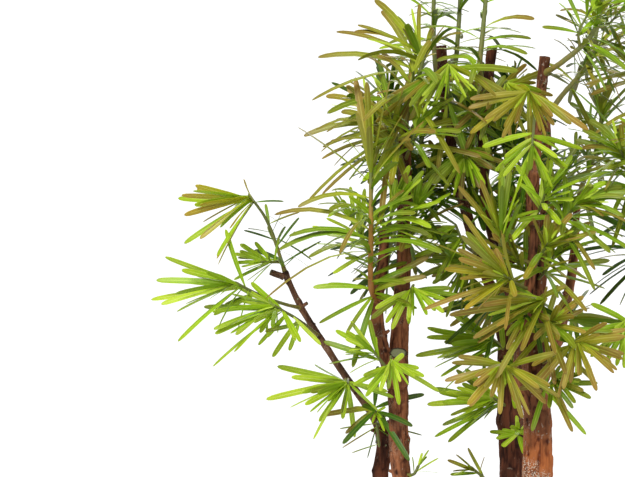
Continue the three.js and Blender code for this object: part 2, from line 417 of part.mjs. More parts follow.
// the leaves of one set: where each starts, which way it goes, how it bends, and its size
function leavesOf(curve, set, seed) {
  const out = [], n = Math.round(set.n * FULLNESS);
  for (let i = 0; i < n; i++) {
    const random = seeded(seed * 4099 + i * 131 + 7), u = i / (n - 1);
    const t = mix(set.span[0], set.span[1], u), at = curve.getPointAt(t);
    let axis = curve.getTangentAt(t);
    if (set.aim) axis = axis.lerp(V(...set.aim).normalize(), 0.85).normalize();
    const ref = Math.abs(axis.z) < 0.95 ? V(0, 0, 1) : V(0, 1, 0);
    const e1 = ref.cross(axis).normalize(), e2 = axis.clone().cross(e1);
    const turn = THREE.MathUtils.degToRad((seed % 360) + i * TURN + 16 * (random() - 0.5));
    const open = THREE.MathUtils.degToRad(mix(set.open[0], set.open[1], u) + 14 * (random() - 0.5));
    const radial = e1.multiplyScalar(Math.cos(turn)).addScaledVector(e2, Math.sin(turn));
    if (set.aim) radial.addScaledVector(SUN, -LEAF.flat * radial.dot(SUN)).normalize();
    const way = axis.clone().multiplyScalar(Math.cos(open)).addScaledVector(radial, Math.sin(open));
    const face = axis.clone().multiplyScalar(Math.sin(open)).addScaledVector(radial, -Math.cos(open)).addScaledVector(SUN, LEAF.toSun).normalize();
    const length = set.length * (1 - 0.22 * u) * (0.88 + 0.22 * random());
    const bend = V(0, 0, -set.droop * length * (0.8 + 0.5 * random())).addScaledVector(radial, LEAF.arch * length * (1 - u));
    const root = at.clone().addScaledVector(radial, LEAF.rootShare * twigHalf(curve.getLength(), t));
    out.push({ at, root, way, face, bend, length, twist: THREE.MathUtils.degToRad(LEAF.twist * (random() - 0.5)) });
  }
  return out;
}

// a strap leaf: its root ring lies in the twig, its section has three corners with the keel below, and its flanks are
// flat from the root to the widest place; "from" starts it part way along
function leafSolid(leaf, grow = 0, from = 0) {
  const along = leafPoint(leaf, LEAF.widest).sub(leaf.root).normalize();
  const face = leaf.face.clone().addScaledVector(along, -leaf.face.dot(along)).normalize().applyAxisAngle(along, leaf.twist);
  const side = along.clone().cross(face);
  const ring = (p, half, thick) => [1, 0, -1].map((k) => (k
    ? p.clone().addScaledVector(side, k * (half + grow)).addScaledVector(face, grow)
    : p.clone().addScaledVector(face, -thick - grow)));
  const share = LEAF.rootWidth / LEAF.width, start = mix(share, 1, from / LEAF.widest), widest = leafPoint(leaf, LEAF.widest);
  return solid(loft([
    ring(leaf.root.clone().lerp(widest, from / LEAF.widest), start * LEAF.width / 2, start * LEAF.thick),
    ring(widest, LEAF.width / 2, LEAF.thick),
    grow ? ring(leafPoint(leaf, 1).addScaledVector(along, grow), 0.3, 0.3) : [leafPoint(leaf, 1)],
  ]));
}

const leafPoint = (leaf, s) => leaf.at.clone().addScaledVector(leaf.way, s * leaf.length).addScaledVector(leaf.bend, s * s);

// ---------------------------------------------------------------- pot, soil and the root at the soil's surface
function potSolid() {
  const { height, rimRadius, rimHeight, rimProud, wall, floor, baseRadius, edge } = POT;
  const body = rimRadius - rimProud, inner = body - wall, shoulder = height - rimHeight;
  const bodyAt = (z) => mix(baseRadius, body, z / height), innerAt = (z) => bodyAt(z) - wall;
  const profile = [[0, 0], [baseRadius - edge, 0], [baseRadius + 0.2, edge], [bodyAt(shoulder), shoulder], [rimRadius - 1, shoulder + 3],
    [rimRadius, shoulder + 7], [rimRadius, height - 2.5], [rimRadius - 2.5, height], [inner + 2, height], [inner, height - 2],
    [innerAt(floor), floor], [0, floor]];
  let body3 = solid(new THREE.LatheGeometry(profile.map(([r, z]) => new THREE.Vector2(r, z)), POT.sides).rotateX(Math.PI / 2));
  if (body3.volume() < 0) throw new Error('pot is inside out');
  for (let i = 0; i < POT.holes; i++) {
    const a = (2 * Math.PI * (i + 0.5)) / POT.holes;
    const hole = new THREE.CylinderGeometry(POT.holeRadius, POT.holeRadius, floor * 3, 8).rotateX(Math.PI / 2);
    body3 = body3.subtract(solid(hole.translate(POT.holeCircle * Math.cos(a), POT.holeCircle * Math.sin(a), floor / 2)));
  }
  return body3;
}

function soilSolid() {
  const { height, rimRadius, rimProud, wall, floor, baseRadius } = POT, gap = SOIL.gap;
  const inner = (z) => mix(baseRadius, rimRadius - rimProud, z / height) - wall - gap * 1.5;
  const low = floor + gap, top = SOIL.top;
  const profile = [[0, low], [inner(low), low], [inner(top - 3), top - 3], [inner(top) - 4, top - 1.6], [inner(top) - 20, top], [0, top]];
  return solid(new THREE.LatheGeometry(profile.map(([r, z]) => new THREE.Vector2(r, z)), POT.sides).rotateX(Math.PI / 2));
}

// the woody root that all stems share: one arm to each stem's foot, cut flat at the soil
function rootSolid(stems) {
  const { x, y, radius, cut } = CROWN_ROOT;
  let root = null;
  for (const stem of stems) {
    const foot = stem.curve.getPointAt(0), r = stem.half(0);
    const out = V(foot.x - x, foot.y - y, 0), reach = out.length();
    out.normalize();
    const marks = [V(x, y, cut - 4).addScaledVector(out, -4), V(x, y, cut).addScaledVector(out, reach * 0.45),
      V(foot.x, foot.y, cut).addScaledVector(out, -r * 0.35).setZ(cut + 10), foot.clone()];
    const curve = new THREE.CatmullRomCurve3(marks, false, 'centripetal');
    const arm = { name: 'root_' + stem.name, length: 34 * 3, curve, half: (t) => mix(radius, r * (1.25 - 0.25 * smooth(0.75, 1, t)), smooth(0, 0.8, t)) };
    const body = limbSolid(arm, 7, 0);
    root = root ? root.add(body) : body;
  }
  const below = solid(new THREE.BoxGeometry(400, 400, 100).translate(0, 0, cut - 50));
  root = root.subtract(below);
  for (const stem of stems) root = root.subtract(stem.grown);
  return tidy(root);
}

// ---------------------------------------------------------------- build
const BARK = { red: 0x6a4536, dark: 0x4a3229, orange: 0x8a5636 };
const TONES = { lime: 0x8fb52a, gold: 0xa89a34, green: 0x5f8f2c, olive: 0x7c8a34, deep: 0x3d6b25, bronze: 0x8d7a3c };
const plant = new THREE.Group();

// a twig as thick as its bough leaves a scrap behind it when it is cut clear: the scrap is dropped
function largest(body, name) {
  const parts = body.decompose().sort((a, b) => b.volume() - a.volume());
  if (parts.length > 1 && parts[1].volume() > 0.12 * parts[0].volume()) throw new Error(`${name}: its twigs cross a limb`);
  return parts[0];
}

function place(name, body, color, roughness = 0.85) {
  const parts = body.decompose();
  if (parts.length !== 1) throw new Error(`${name} has ${parts.length} bodies`);
  const mesh = new THREE.Mesh(geometryOf(body), new THREE.MeshStandardMaterial({ color, roughness, metalness: 0 }));
  mesh.name = name;
  plant.add(mesh);
}

const fixed = [];            // what leaves keep clear of: limbs grown by the seat gap
for (const spec of LIMBS) limbs.set(spec.name, limbOf(spec));
for (const limb of limbs.values()) {
  const sides = limb.half(0.3) > 7 ? 8 : 6;
  let body = limbSolid(limb, sides, 0, limb.foot ? SEAT : 0), grown = limbSolid(limb, sides, SEAT);
  if (limb.snag) {
    body = body.add(snagSolid(limb, 0));
    grown = grown.add(snagSolid(limb, SEAT));
  }
  if (limb.on) body = body.subtract(limbs.get(limb.on).grown);
  if (limb.snag || limb.on) body = tidy(body);
  Object.assign(limb, { body, grown, box: boxOf(grown) });
  fixed.push({ name: limb.name, body: grown, box: limb.box });
  place(limb.name, body, /front/.test(limb.name) ? BARK.orange : /rear|back/.test(limb.name) ? BARK.dark : BARK.red, 0.9);
}
place('root_crown', largest(rootSolid([...limbs.values()].filter((l) => l.foot)), 'root_crown'), BARK.dark, 0.9);
place('pot', potSolid(), 0x8d8a84, 0.6);
place('soil', soilSolid(), 0x2e241d, 0.95);

// twigs first, then the leaves, each tested against the limbs and all other masses
const grownMasses = MASSES.map((mass, m) => {
  const twigs = [];
  let body = null, grown = null;
  for (const twig of mass.twigs) {
    const curve = twigCurve(mass, twig, twigs[0]), one = twigSolid(curve);
    twigs.push({ ...twig, curve });
    body = body ? body.add(one) : one;
    grown = grown ? grown.add(twigSolid(curve, SEAT)) : twigSolid(curve, SEAT);
  }
  for (const f of fixed) if (!apart(boxOf(body), f.box)) body = body.subtract(f.body);
  body = largest(body, mass.name);
  return { ...mass, seed: m + 1, twigs, body, grown, box: boxOf(grown), leaves: [], outers: [] };
});
for (const a of grownMasses) for (const b of grownMasses) {
  if (a.seed < b.seed && !apart(a.box, b.box) && touches(a.grown, b.body)) throw new Error(`${a.name}: its twigs meet those of ${b.name}`);
}
for (const mass of grownMasses) {
  mass.twigs.forEach((twig, w) => twig.sets.forEach((set, s) => {
    for (const leaf of leavesOf(twig.curve, set, mass.seed * 37 + w * 11 + s * 5)) {
      const grown = leafSolid(leaf, SEAT), box = boxOf(grown), outer = leafSolid(leaf, SEAT, 0.26);
      const blocked = fixed.some((f) => !apart(box, f.box) && touches(grown, f.body))
        || grownMasses.some((other) => other !== mass && !apart(box, other.box) && (touches(grown, other.body)
          || other.leaves.some((l) => !apart(box, l.box) && touches(grown, l.body))))
        || mass.leaves.some((l) => !apart(box, l.box) && (touches(outer, l.body) || touches(grown, l.outer)));
      if (blocked) { grown.delete(); outer.delete(); continue; }
      grown.delete();
      mass.leaves.push({ body: leafSolid(leaf), outer: leafSolid(leaf, 0, 0.26), box });
      mass.box.union(box);
    }
  }));
}
for (const mass of grownMasses) {
  let body = mass.body;
  for (const leaf of mass.leaves) body = body.add(leaf.body);
  body = tidy(body);
  place(mass.name, largest(body, mass.name), TONES[mass.tone], 0.5);
}

export default plant;
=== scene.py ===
"""Looks of the potted yew plum pine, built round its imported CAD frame.

Shapes are worked out in millimetres by numpy and put into meshes in metres. Limbs and shoots are placed on the same
front drawing as the solids: "across" runs right and "down" runs down in drawing units, "away" is the depth behind the
pot's axis in millimetres.
"""

import logging
import math
from dataclasses import dataclass, field
from enum import Enum
from typing import Any, Sequence

import bpy
import numpy as np
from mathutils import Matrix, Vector
from numpy.typing import NDArray


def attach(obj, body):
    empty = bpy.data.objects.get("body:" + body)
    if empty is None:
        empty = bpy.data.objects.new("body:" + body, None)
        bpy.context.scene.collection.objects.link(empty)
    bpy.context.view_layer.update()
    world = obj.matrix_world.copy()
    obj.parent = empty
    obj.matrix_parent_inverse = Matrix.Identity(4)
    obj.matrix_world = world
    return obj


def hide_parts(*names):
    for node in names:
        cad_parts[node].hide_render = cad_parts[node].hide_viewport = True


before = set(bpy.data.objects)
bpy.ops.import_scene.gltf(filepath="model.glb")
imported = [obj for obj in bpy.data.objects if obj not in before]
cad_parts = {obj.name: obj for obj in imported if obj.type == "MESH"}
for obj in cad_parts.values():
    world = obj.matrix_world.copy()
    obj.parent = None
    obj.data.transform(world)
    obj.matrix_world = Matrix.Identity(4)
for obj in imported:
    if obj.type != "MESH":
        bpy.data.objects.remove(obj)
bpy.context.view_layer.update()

MM = 0.001  # metres in a millimetre
MAP = "OFBake"
EVEN = np.linspace(0, 1, 64)  # shares of a limb's length at which its half widths are kept
WORD = 4294967296.0  # whole numbers that 32 bits can tell apart
FACE, FINE_FACE = 1.25, 0.9  # sizes of bark's faces on limbs, and on stubs and spurs, in millimetres
ROUND = (12, 72)  # fewest and most points round a limb
Array = NDArray[np.float64]
Whole = NDArray[np.int64]
Triple = tuple[float, float, float]
Colour = tuple[int, int, int]  # red, green and blue from 0 to 255, as they look on a screen
log = logging.getLogger("yew_plum_pine")


# ---------------------------------------------------------------------------------------------------- small maths
def linear(colour: Colour) -> tuple[float, ...]:
    """A colour as shaders take it.

    Args:
        colour: as it looks on a screen.

    Returns:
        Its linear red, green and blue from 0 to 1, and a full alpha.
    """
    shares = (c / 255 for c in colour)
    return (*(c / 12.92 if c <= 0.04045 else ((c + 0.055) / 1.055) ** 2.4 for c in shares), 1)


def smooth(low: float, high: float, value: Array) -> Array:
    """Soft step from 0 at low to 1 at high: 3k^2 - 2k^3 of the clamped share k."""
    k = np.clip((value - low) / (high - low), 0, 1)
    return k * k * (3 - 2 * k)


def unit(vectors: Array) -> Array:
    """Vectors scaled to length 1 along the last axis."""
    return vectors / np.maximum(np.linalg.norm(vectors, axis=-1, keepdims=True), 1e-12)


def turned(vectors: Array, axes: Array, angle: Array) -> Array:
    """Vectors turned about unit axes at right angles to them: v cos a + (axis x v) sin a."""
    return vectors * np.cos(angle)[..., None] + np.cross(axes, vectors) * np.sin(angle)[..., None]


def full_turn(count: int) -> Array:
    """Even angles round a circle, in radians."""
    return np.arange(count) * 2 * math.pi / count


def square_to(axes: Array) -> tuple[Array, Array]:
    """Two unit directions square to each unit axis and to each other; the first is level unless the axis is upright.

    Args:
        axes: unit directions, (..., 3).

    Returns:
        The level directions and those square to both, like the axes.
    """
    up = np.where(np.abs(axes[..., 2:]) < 0.95, [0.0, 0.0, 1.0], [0.0, 1.0, 0.0])
    level = unit(np.cross(up, axes))
    return level, np.cross(axes, level)


def draws(seeds: Array | Sequence[int], count: int) -> Array:
    """Repeatable random numbers from whole-number seeds, the same ones as the solids use.

    Args:
        seeds: one seed for each row.
        count: numbers in a row.

    Returns:
        Numbers from 0 to 1, a row for each seed.
    """
    state = (np.atleast_1d(seeds).astype(np.int64) & 0xFFFFFFFF).astype(np.uint32)
    rows = []
    for _ in range(count):
        state = state + np.uint32(0x6D2B79F5)
        t = (state ^ (state >> np.uint32(15))) * (state | np.uint32(1))
        t = t ^ (t + (t ^ (t >> np.uint32(7))) * (t | np.uint32(61)))
        rows.append((t ^ (t >> np.uint32(14))) / WORD)
    return np.stack(rows, -1)


def lattice(cells: Whole, seed: int) -> Array:
    """Repeatable number from 0 to 1 for each whole-number cell (x, y, z), by mixing its bits.

    Args:
        cells: whole numbers, (..., 3).
        seed: which pattern.

    Returns:
        A number from 0 to 1 for each cell.
    """
    x, y, z = (cells[..., k].astype(np.uint32) for k in range(3))
    h = x * np.uint32(374761393) + y * np.uint32(668265263) + z * np.uint32(2147483553)
    h = h + np.uint32(seed * 974711 % 4294967291)
    h = (h ^ (h >> np.uint32(13))) * np.uint32(1274126177)
    h = (h ^ (h >> np.uint32(16))) * np.uint32(2246822519)
    return (h ^ (h >> np.uint32(15))) / WORD


def noise(points: Array, seed: int = 0) -> Array:
    """Value noise from 0 to 1: the numbers of a cell's eight corners, blended by soft steps along each axis.

    Args:
        points: places in cells, (..., 3).
        seed: which pattern.

    Returns:
        The noise at each place.
    """
    base = np.floor(points).astype(np.int64)
    part = points - base
    part = part * part * (3 - 2 * part)
    total = np.zeros(points.shape[:-1])
    for corner in range(8):
        step = np.array([corner & 1, corner >> 1 & 1, corner >> 2 & 1])
        weight = np.prod(np.where(step == 1, part, 1 - part), axis=-1)
        total += weight * lattice(base + step, seed)
    return total


class Curve:
    """A path through marks, read by share of its length: a centripetal Catmull-Rom curve."""

    CHORDS = 200
    SOUGHT = np.linspace(0, 1, 241)
    NUDGE = 1e-4

    def __init__(self, points: Array) -> None:
        """Keeps the marks and measures the path in short chords.

        Args:
            points: at least two marks, in millimetres.
        """
        self.points = np.asarray(points, float)
        self.shares = np.linspace(0, 1, self.CHORDS + 1)
        chords = np.linalg.norm(np.diff(self.raw(self.shares), axis=0), axis=1)
        self.run = np.concatenate([[0], np.cumsum(chords)])
        self.length = float(self.run[-1])

    def raw(self, t: Array) -> Array:
        """Points by the path's own parameter: on each span a cubic with the span's two slopes.

        Args:
            t: the parameter, 0 to 1.

        Returns:
            A point for each, (n, 3).
        """
        marks, spans = self.points, len(self.points) - 1
        place = spans * np.clip(t, 0, 1)
        i = np.minimum(np.floor(place).astype(int), spans - 1)
        w = (place - i)[..., None]
        wide = np.vstack([2 * marks[0] - marks[1], marks, 2 * marks[-1] - marks[-2]])
        a, b, c, d = (wide[i + k] for k in range(4))
        before, here, after = (np.sqrt(np.linalg.norm(q - p, axis=-1, keepdims=True))
                               for p, q in ((a, b), (b, c), (c, d)))
        leaving = ((b - a) / before - (c - a) / (before + here) + (c - b) / here) * here
        arriving = ((c - b) / here - (d - b) / (here + after) + (d - c) / after) * here
        square, cube = 3 * (c - b) - 2 * leaving - arriving, 2 * (b - c) + leaving + arriving
        return b + leaving * w + square * w**2 + cube * w**3

    def own(self, share: Array) -> Array:
        """The path's own parameter at shares of its length."""
        return np.interp(np.asarray(share, float) * self.length, self.run, self.shares)

    def at(self, share: Array) -> Array:
        """Points at shares of the length."""
        return self.raw(self.own(share))

    def tangent(self, share: Array) -> Array:
        """Unit directions at shares of the length."""
        t = self.own(share)
        return unit(self.raw(np.minimum(t + self.NUDGE, 1)) - self.raw(np.maximum(t - self.NUDGE, 0)))

    def frames(self, share: Array) -> tuple[Array, Array, Array, Array]:
        """Points, directions and two cross directions that don't spin: the world axis least in line, made square.

        Args:
            share: shares of the length.

        Returns:
            Points, directions, sides and the directions square to both.
        """
        at, along = self.at(share), self.tangent(share)
        axis = np.eye(3)[int(np.argmin(np.abs(along).max(0)))]
        side = unit(axis - along * (along @ axis)[:, None])
        return at, along, side, np.cross(along, side)

    def spokes(self, share: Array, angle: Array) -> tuple[Array, Array, Array]:
        """Points and directions at shares of the length, and unit spokes square to them at angles round each point."""
        at, way, side, other = self.frames(share)
        return at, way, side[:, None] * np.cos(angle)[..., None] + other[:, None] * np.sin(angle)[..., None]

    def nearest(self, point: Array) -> float:
        """Share of the length that lies closest to a point."""
        return float(self.SOUGHT[np.argmin(np.linalg.norm(self.at(self.SOUGHT) - point, axis=1))])


@dataclass(frozen=True)
class Drawing:
    """The front drawing that limbs and shoots are placed on, in drawing units, and where its eye stands."""

    unit: float = 0.9
    across: float = 312.5
    down: float = 238.5
    x: float = -191.25
    z: float = 540.35
    distance: float = 1600.0
    sought: int = 301

    def place(self, marks: Sequence[Sequence[float]]) -> Array:
        """Marks (across, down, away) as points: an offset grows with its depth behind the pot's axis.

        Args:
            marks: rows of across, down and away.

        Returns:
            Points in millimetres, a row for each.
        """
        across, down, away = np.asarray(marks, float)[:, :3].T
        scale = self.unit * (self.distance + away) / self.distance
        return np.stack([self.x + (across - self.across) * scale, away, self.z + (self.down - down) * scale], -1)

    def shown(self, points: Array) -> Array:
        """Where points show on the drawing, as (across, down).

        Args:
            points: places in millimetres, (..., 3).

        Returns:
            Across and down for each.
        """
        scale = self.unit * (self.distance + points[..., 1]) / self.distance
        right, up = points[..., 0] - self.x, points[..., 2] - self.z
        return np.stack([self.across + right / scale, self.down - up / scale], -1)

    def nearest(self, curve: Curve, mark: Sequence[float]) -> float:
        """Share of a curve's length that shows closest to a mark of the drawing.

        Args:
            curve: a limb's centre line.
            mark: across and down.

        Returns:
            The share, 0 at its foot.
        """
        shares = np.linspace(0, 1, self.sought)
        gaps = np.linalg.norm(self.shown(curve.at(shares)) - np.asarray(mark[:2], float), axis=1)
        return float(shares[np.argmin(gaps)])


DRAWING = Drawing()


# ---------------------------------------------------------------------------------------------------- meshes
@dataclass
class Surface:
    """Points in millimetres, faces of one or more sizes, a map place for each face corner, and marks on the points."""

    points: Array
    faces: list[Whole]
    corners: list[Array]
    marks: dict[str, Array] = field(default_factory=dict)

    @staticmethod
    def joined(parts: Sequence["Surface"]) -> "Surface":
        """Several surfaces as one; all carry the same marks.

        Args:
            parts: the surfaces, in order.

        Returns:
            One surface with all their faces and marks.
        """
        starts = np.concatenate([[0], np.cumsum([len(p.points) for p in parts])])[:-1]
        faces: dict[int, list[Whole]] = {}
        corners: dict[int, list[Array]] = {}
        for start, part in zip(starts, parts):
            for face, corner in zip(part.faces, part.corners):
                faces.setdefault(face.shape[1], []).append(face + start)
                corners.setdefault(face.shape[1], []).append(corner)
        marks = {key: np.concatenate([p.marks[key] for p in parts]) for key in parts[0].marks}
        return Surface(np.concatenate([p.points for p in parts]), [np.concatenate(faces[k]) for k in faces],
                       [np.concatenate(corners[k]) for k in faces], marks)

    def piece(self, name: str, finish: bpy.types.Material) -> bpy.types.Object:
        """The surface as a smooth-shaded object at the origin that rides on the plant.

        Args:
            name: the piece's name.
            finish: its material.

        Returns:
            The object.
        """
        mesh = bpy.data.meshes.new(name)
        mesh.vertices.add(len(self.points))
        mesh.vertices.foreach_set("co", (self.points * MM).astype(np.float32).ravel())
        loops = np.concatenate([f.ravel() for f in self.faces]).astype(np.int32)
        sizes = np.concatenate([np.full(len(f), f.shape[1]) for f in self.faces])
        mesh.loops.add(len(loops))
        mesh.loops.foreach_set("vertex_index", loops)
        mesh.polygons.add(len(sizes))
        mesh.polygons.foreach_set("loop_start", np.concatenate([[0], np.cumsum(sizes)[:-1]]).astype(np.int32))
        mesh.update(calc_edges=True)
        places = np.concatenate([c.reshape(-1) for c in self.corners]).astype(np.float32)
        mesh.uv_layers.new(name=MAP).uv.foreach_set("vector", places)
        for key, values in self.marks.items():
            mesh.attributes.new(key, "FLOAT", "POINT").data.foreach_set("value", values.astype(np.float32))
        mesh.shade_smooth()
        mesh.materials.append(finish)
        made = bpy.data.objects.new(name, mesh)
        bpy.context.scene.collection.objects.link(made)
        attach(made, "root")
        log.info("%s: %d faces", name, len(sizes))
        return made


def tube(rings: Array, first: Array, last: Array, marks: dict[str, Array] | None = None) -> Surface:
    """A closed skin over rings of points, each counterclockwise about the path, with a pole at each end.

    Args:
        rings: (rings, points round, 3).
        first, last: the poles.
        marks: values for each ring point, (rings, points round); a pole takes its ring's mean.

    Returns:
        The surface; its map runs round it in the first direction and along it in the second.
    """
    count, n = rings.shape[:2]
    points = np.concatenate([rings.reshape(-1, 3), first[None], last[None]])
    j = np.arange(n)
    k = (j + 1) % n
    row = (np.arange(count - 1) * n)[:, None]
    quads = np.stack([row + j, row + k, row + n + k, row + n + j], -1).reshape(-1, 4)
    end, top = (count - 1) * n, count * n
    fans = np.concatenate([np.stack([np.full(n, top), k, j], -1),
                           np.stack([np.full(n, top + 1), end + j, end + k], -1)])
    steps = np.linalg.norm(np.diff(np.concatenate([first[None], rings[:, 0], last[None]]), axis=0), axis=1)
    steps = steps + 0.4  # no row of faces has a map of no height
    v = np.concatenate([[0], np.cumsum(steps)]) / steps.sum()
    u0, u1, mid = j / n, (j + 1) / n, (j + 0.5) / n
    low, high = v[1:-2][:, None] + 0 * u0, v[2:-1][:, None] + 0 * u0
    across = np.broadcast_to(np.stack([u0, u1, u1, u0], -1), (count - 1, n, 4))
    quad_map = np.stack([across, np.stack([low, low, high, high], -1)], -1).reshape(-1, 4, 2)
    fan_map = np.concatenate([np.stack([np.stack([mid, u1, u0], -1), np.tile([0, v[1], v[1]], (n, 1))], -1),
                              np.stack([np.stack([mid, u0, u1], -1), np.tile([1, v[-2], v[-2]], (n, 1))], -1)])
    values = {key: np.concatenate([m.ravel(), [m[0].mean(), m[-1].mean()]]) for key, m in (marks or {}).items()}
    return Surface(points, [quads, fans], [quad_map, fan_map], values)


def lathe(radius: Array, height: Array, angle: Array, wobble: Array | float = 1.0) -> Array:
    """Rings of a turned form.

    Args:
        radius, height: of each ring, in millimetres.
        angle: of each point round it.
        wobble: how far each of them is out of round, by the radius.

    Returns:
        The rings' points, (rings, points round, 3).
    """
    across, up = radius[:, None], height[:, None] + 0 * angle
    return np.stack([across * np.cos(angle) * wobble, across * np.sin(angle) * wobble, up], -1)


def map_from_above(points: Array, faces: Whole) -> Array:
    """Map places of faces' corners: the points seen from above, stretched over the whole map."""
    low, high = points.min(0), points.max(0)
    return ((points[:, :2] - low[:2]) / (high - low)[:2])[faces]


# ---------------------------------------------------------------------------------------------------- shaders
class Socket:
    """A value in a material's maths: Python's operators on it add Math nodes."""

    def __init__(self, shader: "Shader", link: bpy.types.NodeSocket) -> None:
        """Wraps a node's output in its shader."""
        self.shader, self.link = shader, link

    def maths(self, operation: str, *values: "Socket | float") -> "Socket":
        """One Math node on the given values."""
        return self.shader.node("ShaderNodeMath", {"operation": operation}, dict(enumerate(values)))

    def __add__(self, other: "Socket | float") -> "Socket":
        """Sum."""
        return self.maths("ADD", self, other)

    def __sub__(self, other: "Socket | float") -> "Socket":
        """Difference."""
        return self.maths("SUBTRACT", self, other)

    def __rsub__(self, other: float) -> "Socket":
        """Difference from a number."""
        return self.maths("SUBTRACT", other, self)

    def __mul__(self, other: "Socket | float") -> "Socket":
        """Product."""
        return self.maths("MULTIPLY", self, other)

    def __gt__(self, other: "Socket | float") -> "Socket":
        """1 where this is greater, else 0."""
        return self.maths("GREATER_THAN", self, other)

    def __abs__(self) -> "Socket":
        """Size without sign."""
        return self.maths("ABSOLUTE", self)

    def floor(self) -> "Socket":
        """Whole part."""
        return self.maths("FLOOR", self)

    def part(self) -> "Socket":
        """Part after the whole number."""
        return self.maths("FRACT", self)

    def step(self, low: float, high: float) -> "Socket":
        """Soft step from 0 at low to 1 at high."""
        return self.shader.node("ShaderNodeMapRange", {"interpolation_type": "SMOOTHSTEP"},
                                {"Value": self, "From Min": low, "From Max": high})


class Shader:
    """A material under construction, with its Principled surface."""

    def __init__(self, name: str, **fixed: Any) -> None:
        """Starts a material.

        Args:
            name: its name.
            fixed: values that are the same all over, by socket name with _ for a space.
        """
        self.material = bpy.data.materials.new(name)
        self.material.use_nodes = True
        self.tree = self.material.node_tree
        self.surface = next(n for n in self.tree.nodes if n.type == "BSDF_PRINCIPLED")
        for key, value in fixed.items():
            self.surface.inputs[key.replace("_", " ")].default_value = value

    def node(self, kind: str, settings: dict[str, Any] | None = None, values: dict[Any, Any] | None = None,
             output: int | str = 0) -> Socket:
        """Adds one node.

        Args:
            kind: the node's type.
            settings: its own settings, set first.
            values: numbers or links for its inputs, by name or number.
            output: which output is wanted.

        Returns:
            That output.
        """
        made = self.tree.nodes.new(kind)
        for key, value in (settings or {}).items():
            setattr(made, key, value)
        for key, value in (values or {}).items():
            if isinstance(value, Socket):
                self.tree.links.new(value.link, made.inputs[key])
            else:
                made.inputs[key].default_value = value
        return Socket(self, made.outputs[output])

    def ramp(self, value: Socket, *stops: tuple[float, Colour]) -> Socket:
        """Colours by a value: each stop is a place on it and a colour.

        Args:
            value: what the ramp reads.
            stops: pairs of a place from 0 to 1 and a colour, in order.

        Returns:
            The ramp's colour.
        """
        made = self.node("ShaderNodeValToRGB", values={0: value})
        elements = made.link.node.color_ramp.elements
        elements[0].position, elements[-1].position = stops[0][0], stops[-1][0]
        for place, _ in stops[1:-1]:
            elements.new(place)
        for element, (_, colour) in zip(elements, stops):
            element.color = linear(colour)
        return made

    def places(self) -> Socket:
        """Object coordinates, in metres."""
        return self.node("ShaderNodeTexCoord", output="Object")

    def map_places(self) -> tuple[Socket, Socket]:
        """The two directions of the piece's own map."""
        split = self.node("ShaderNodeSeparateXYZ", values={0: self.node("ShaderNodeUVMap", {"uv_map": MAP})})
        return split, Socket(self, split.link.node.outputs[1])

    def mark(self, name: str) -> Socket:
        """A mark on the piece's points."""
        return self.node("ShaderNodeAttribute", {"attribute_name": name}, output="Fac")

    def grain(self, scale: float, detail: float = 3, stretch: Sequence[float] = (1, 1, 1)) -> Socket:
        """Noise over Object coordinates.

        Args:
            scale: cells in a metre.
            detail: octaves.
            stretch: how much more often it changes along each axis.

        Returns:
            The noise, from 0 to 1.
        """
        at = self.node("ShaderNodeMapping", values={0: self.places(), "Scale": stretch})
        return self.node("ShaderNodeTexNoise", values={"Vector": at, "Scale": scale, "Detail": detail})

    def blend(self, amount: Socket | float, first: Any, second: Any) -> Socket:
        """First colour at 0, second at 1."""
        first, second = (c if isinstance(c, Socket) else linear(c) for c in (first, second))
        return self.node("ShaderNodeMix", {"data_type": "RGBA"}, {0: amount, 6: first, 7: second}, 2)

    def feed(self, name: str, value: Socket) -> None:
        """Links a value to the surface."""
        self.tree.links.new(value.link, self.surface.inputs[name])

    def bump(self, height: Socket, distance: float, strength: float = 1) -> None:
        """Raises the surface by a height from 0 to 1 over a distance in metres."""
        values = {"Height": height, "Distance": distance, "Strength": strength}
        self.feed("Normal", self.node("ShaderNodeBump", values=values))


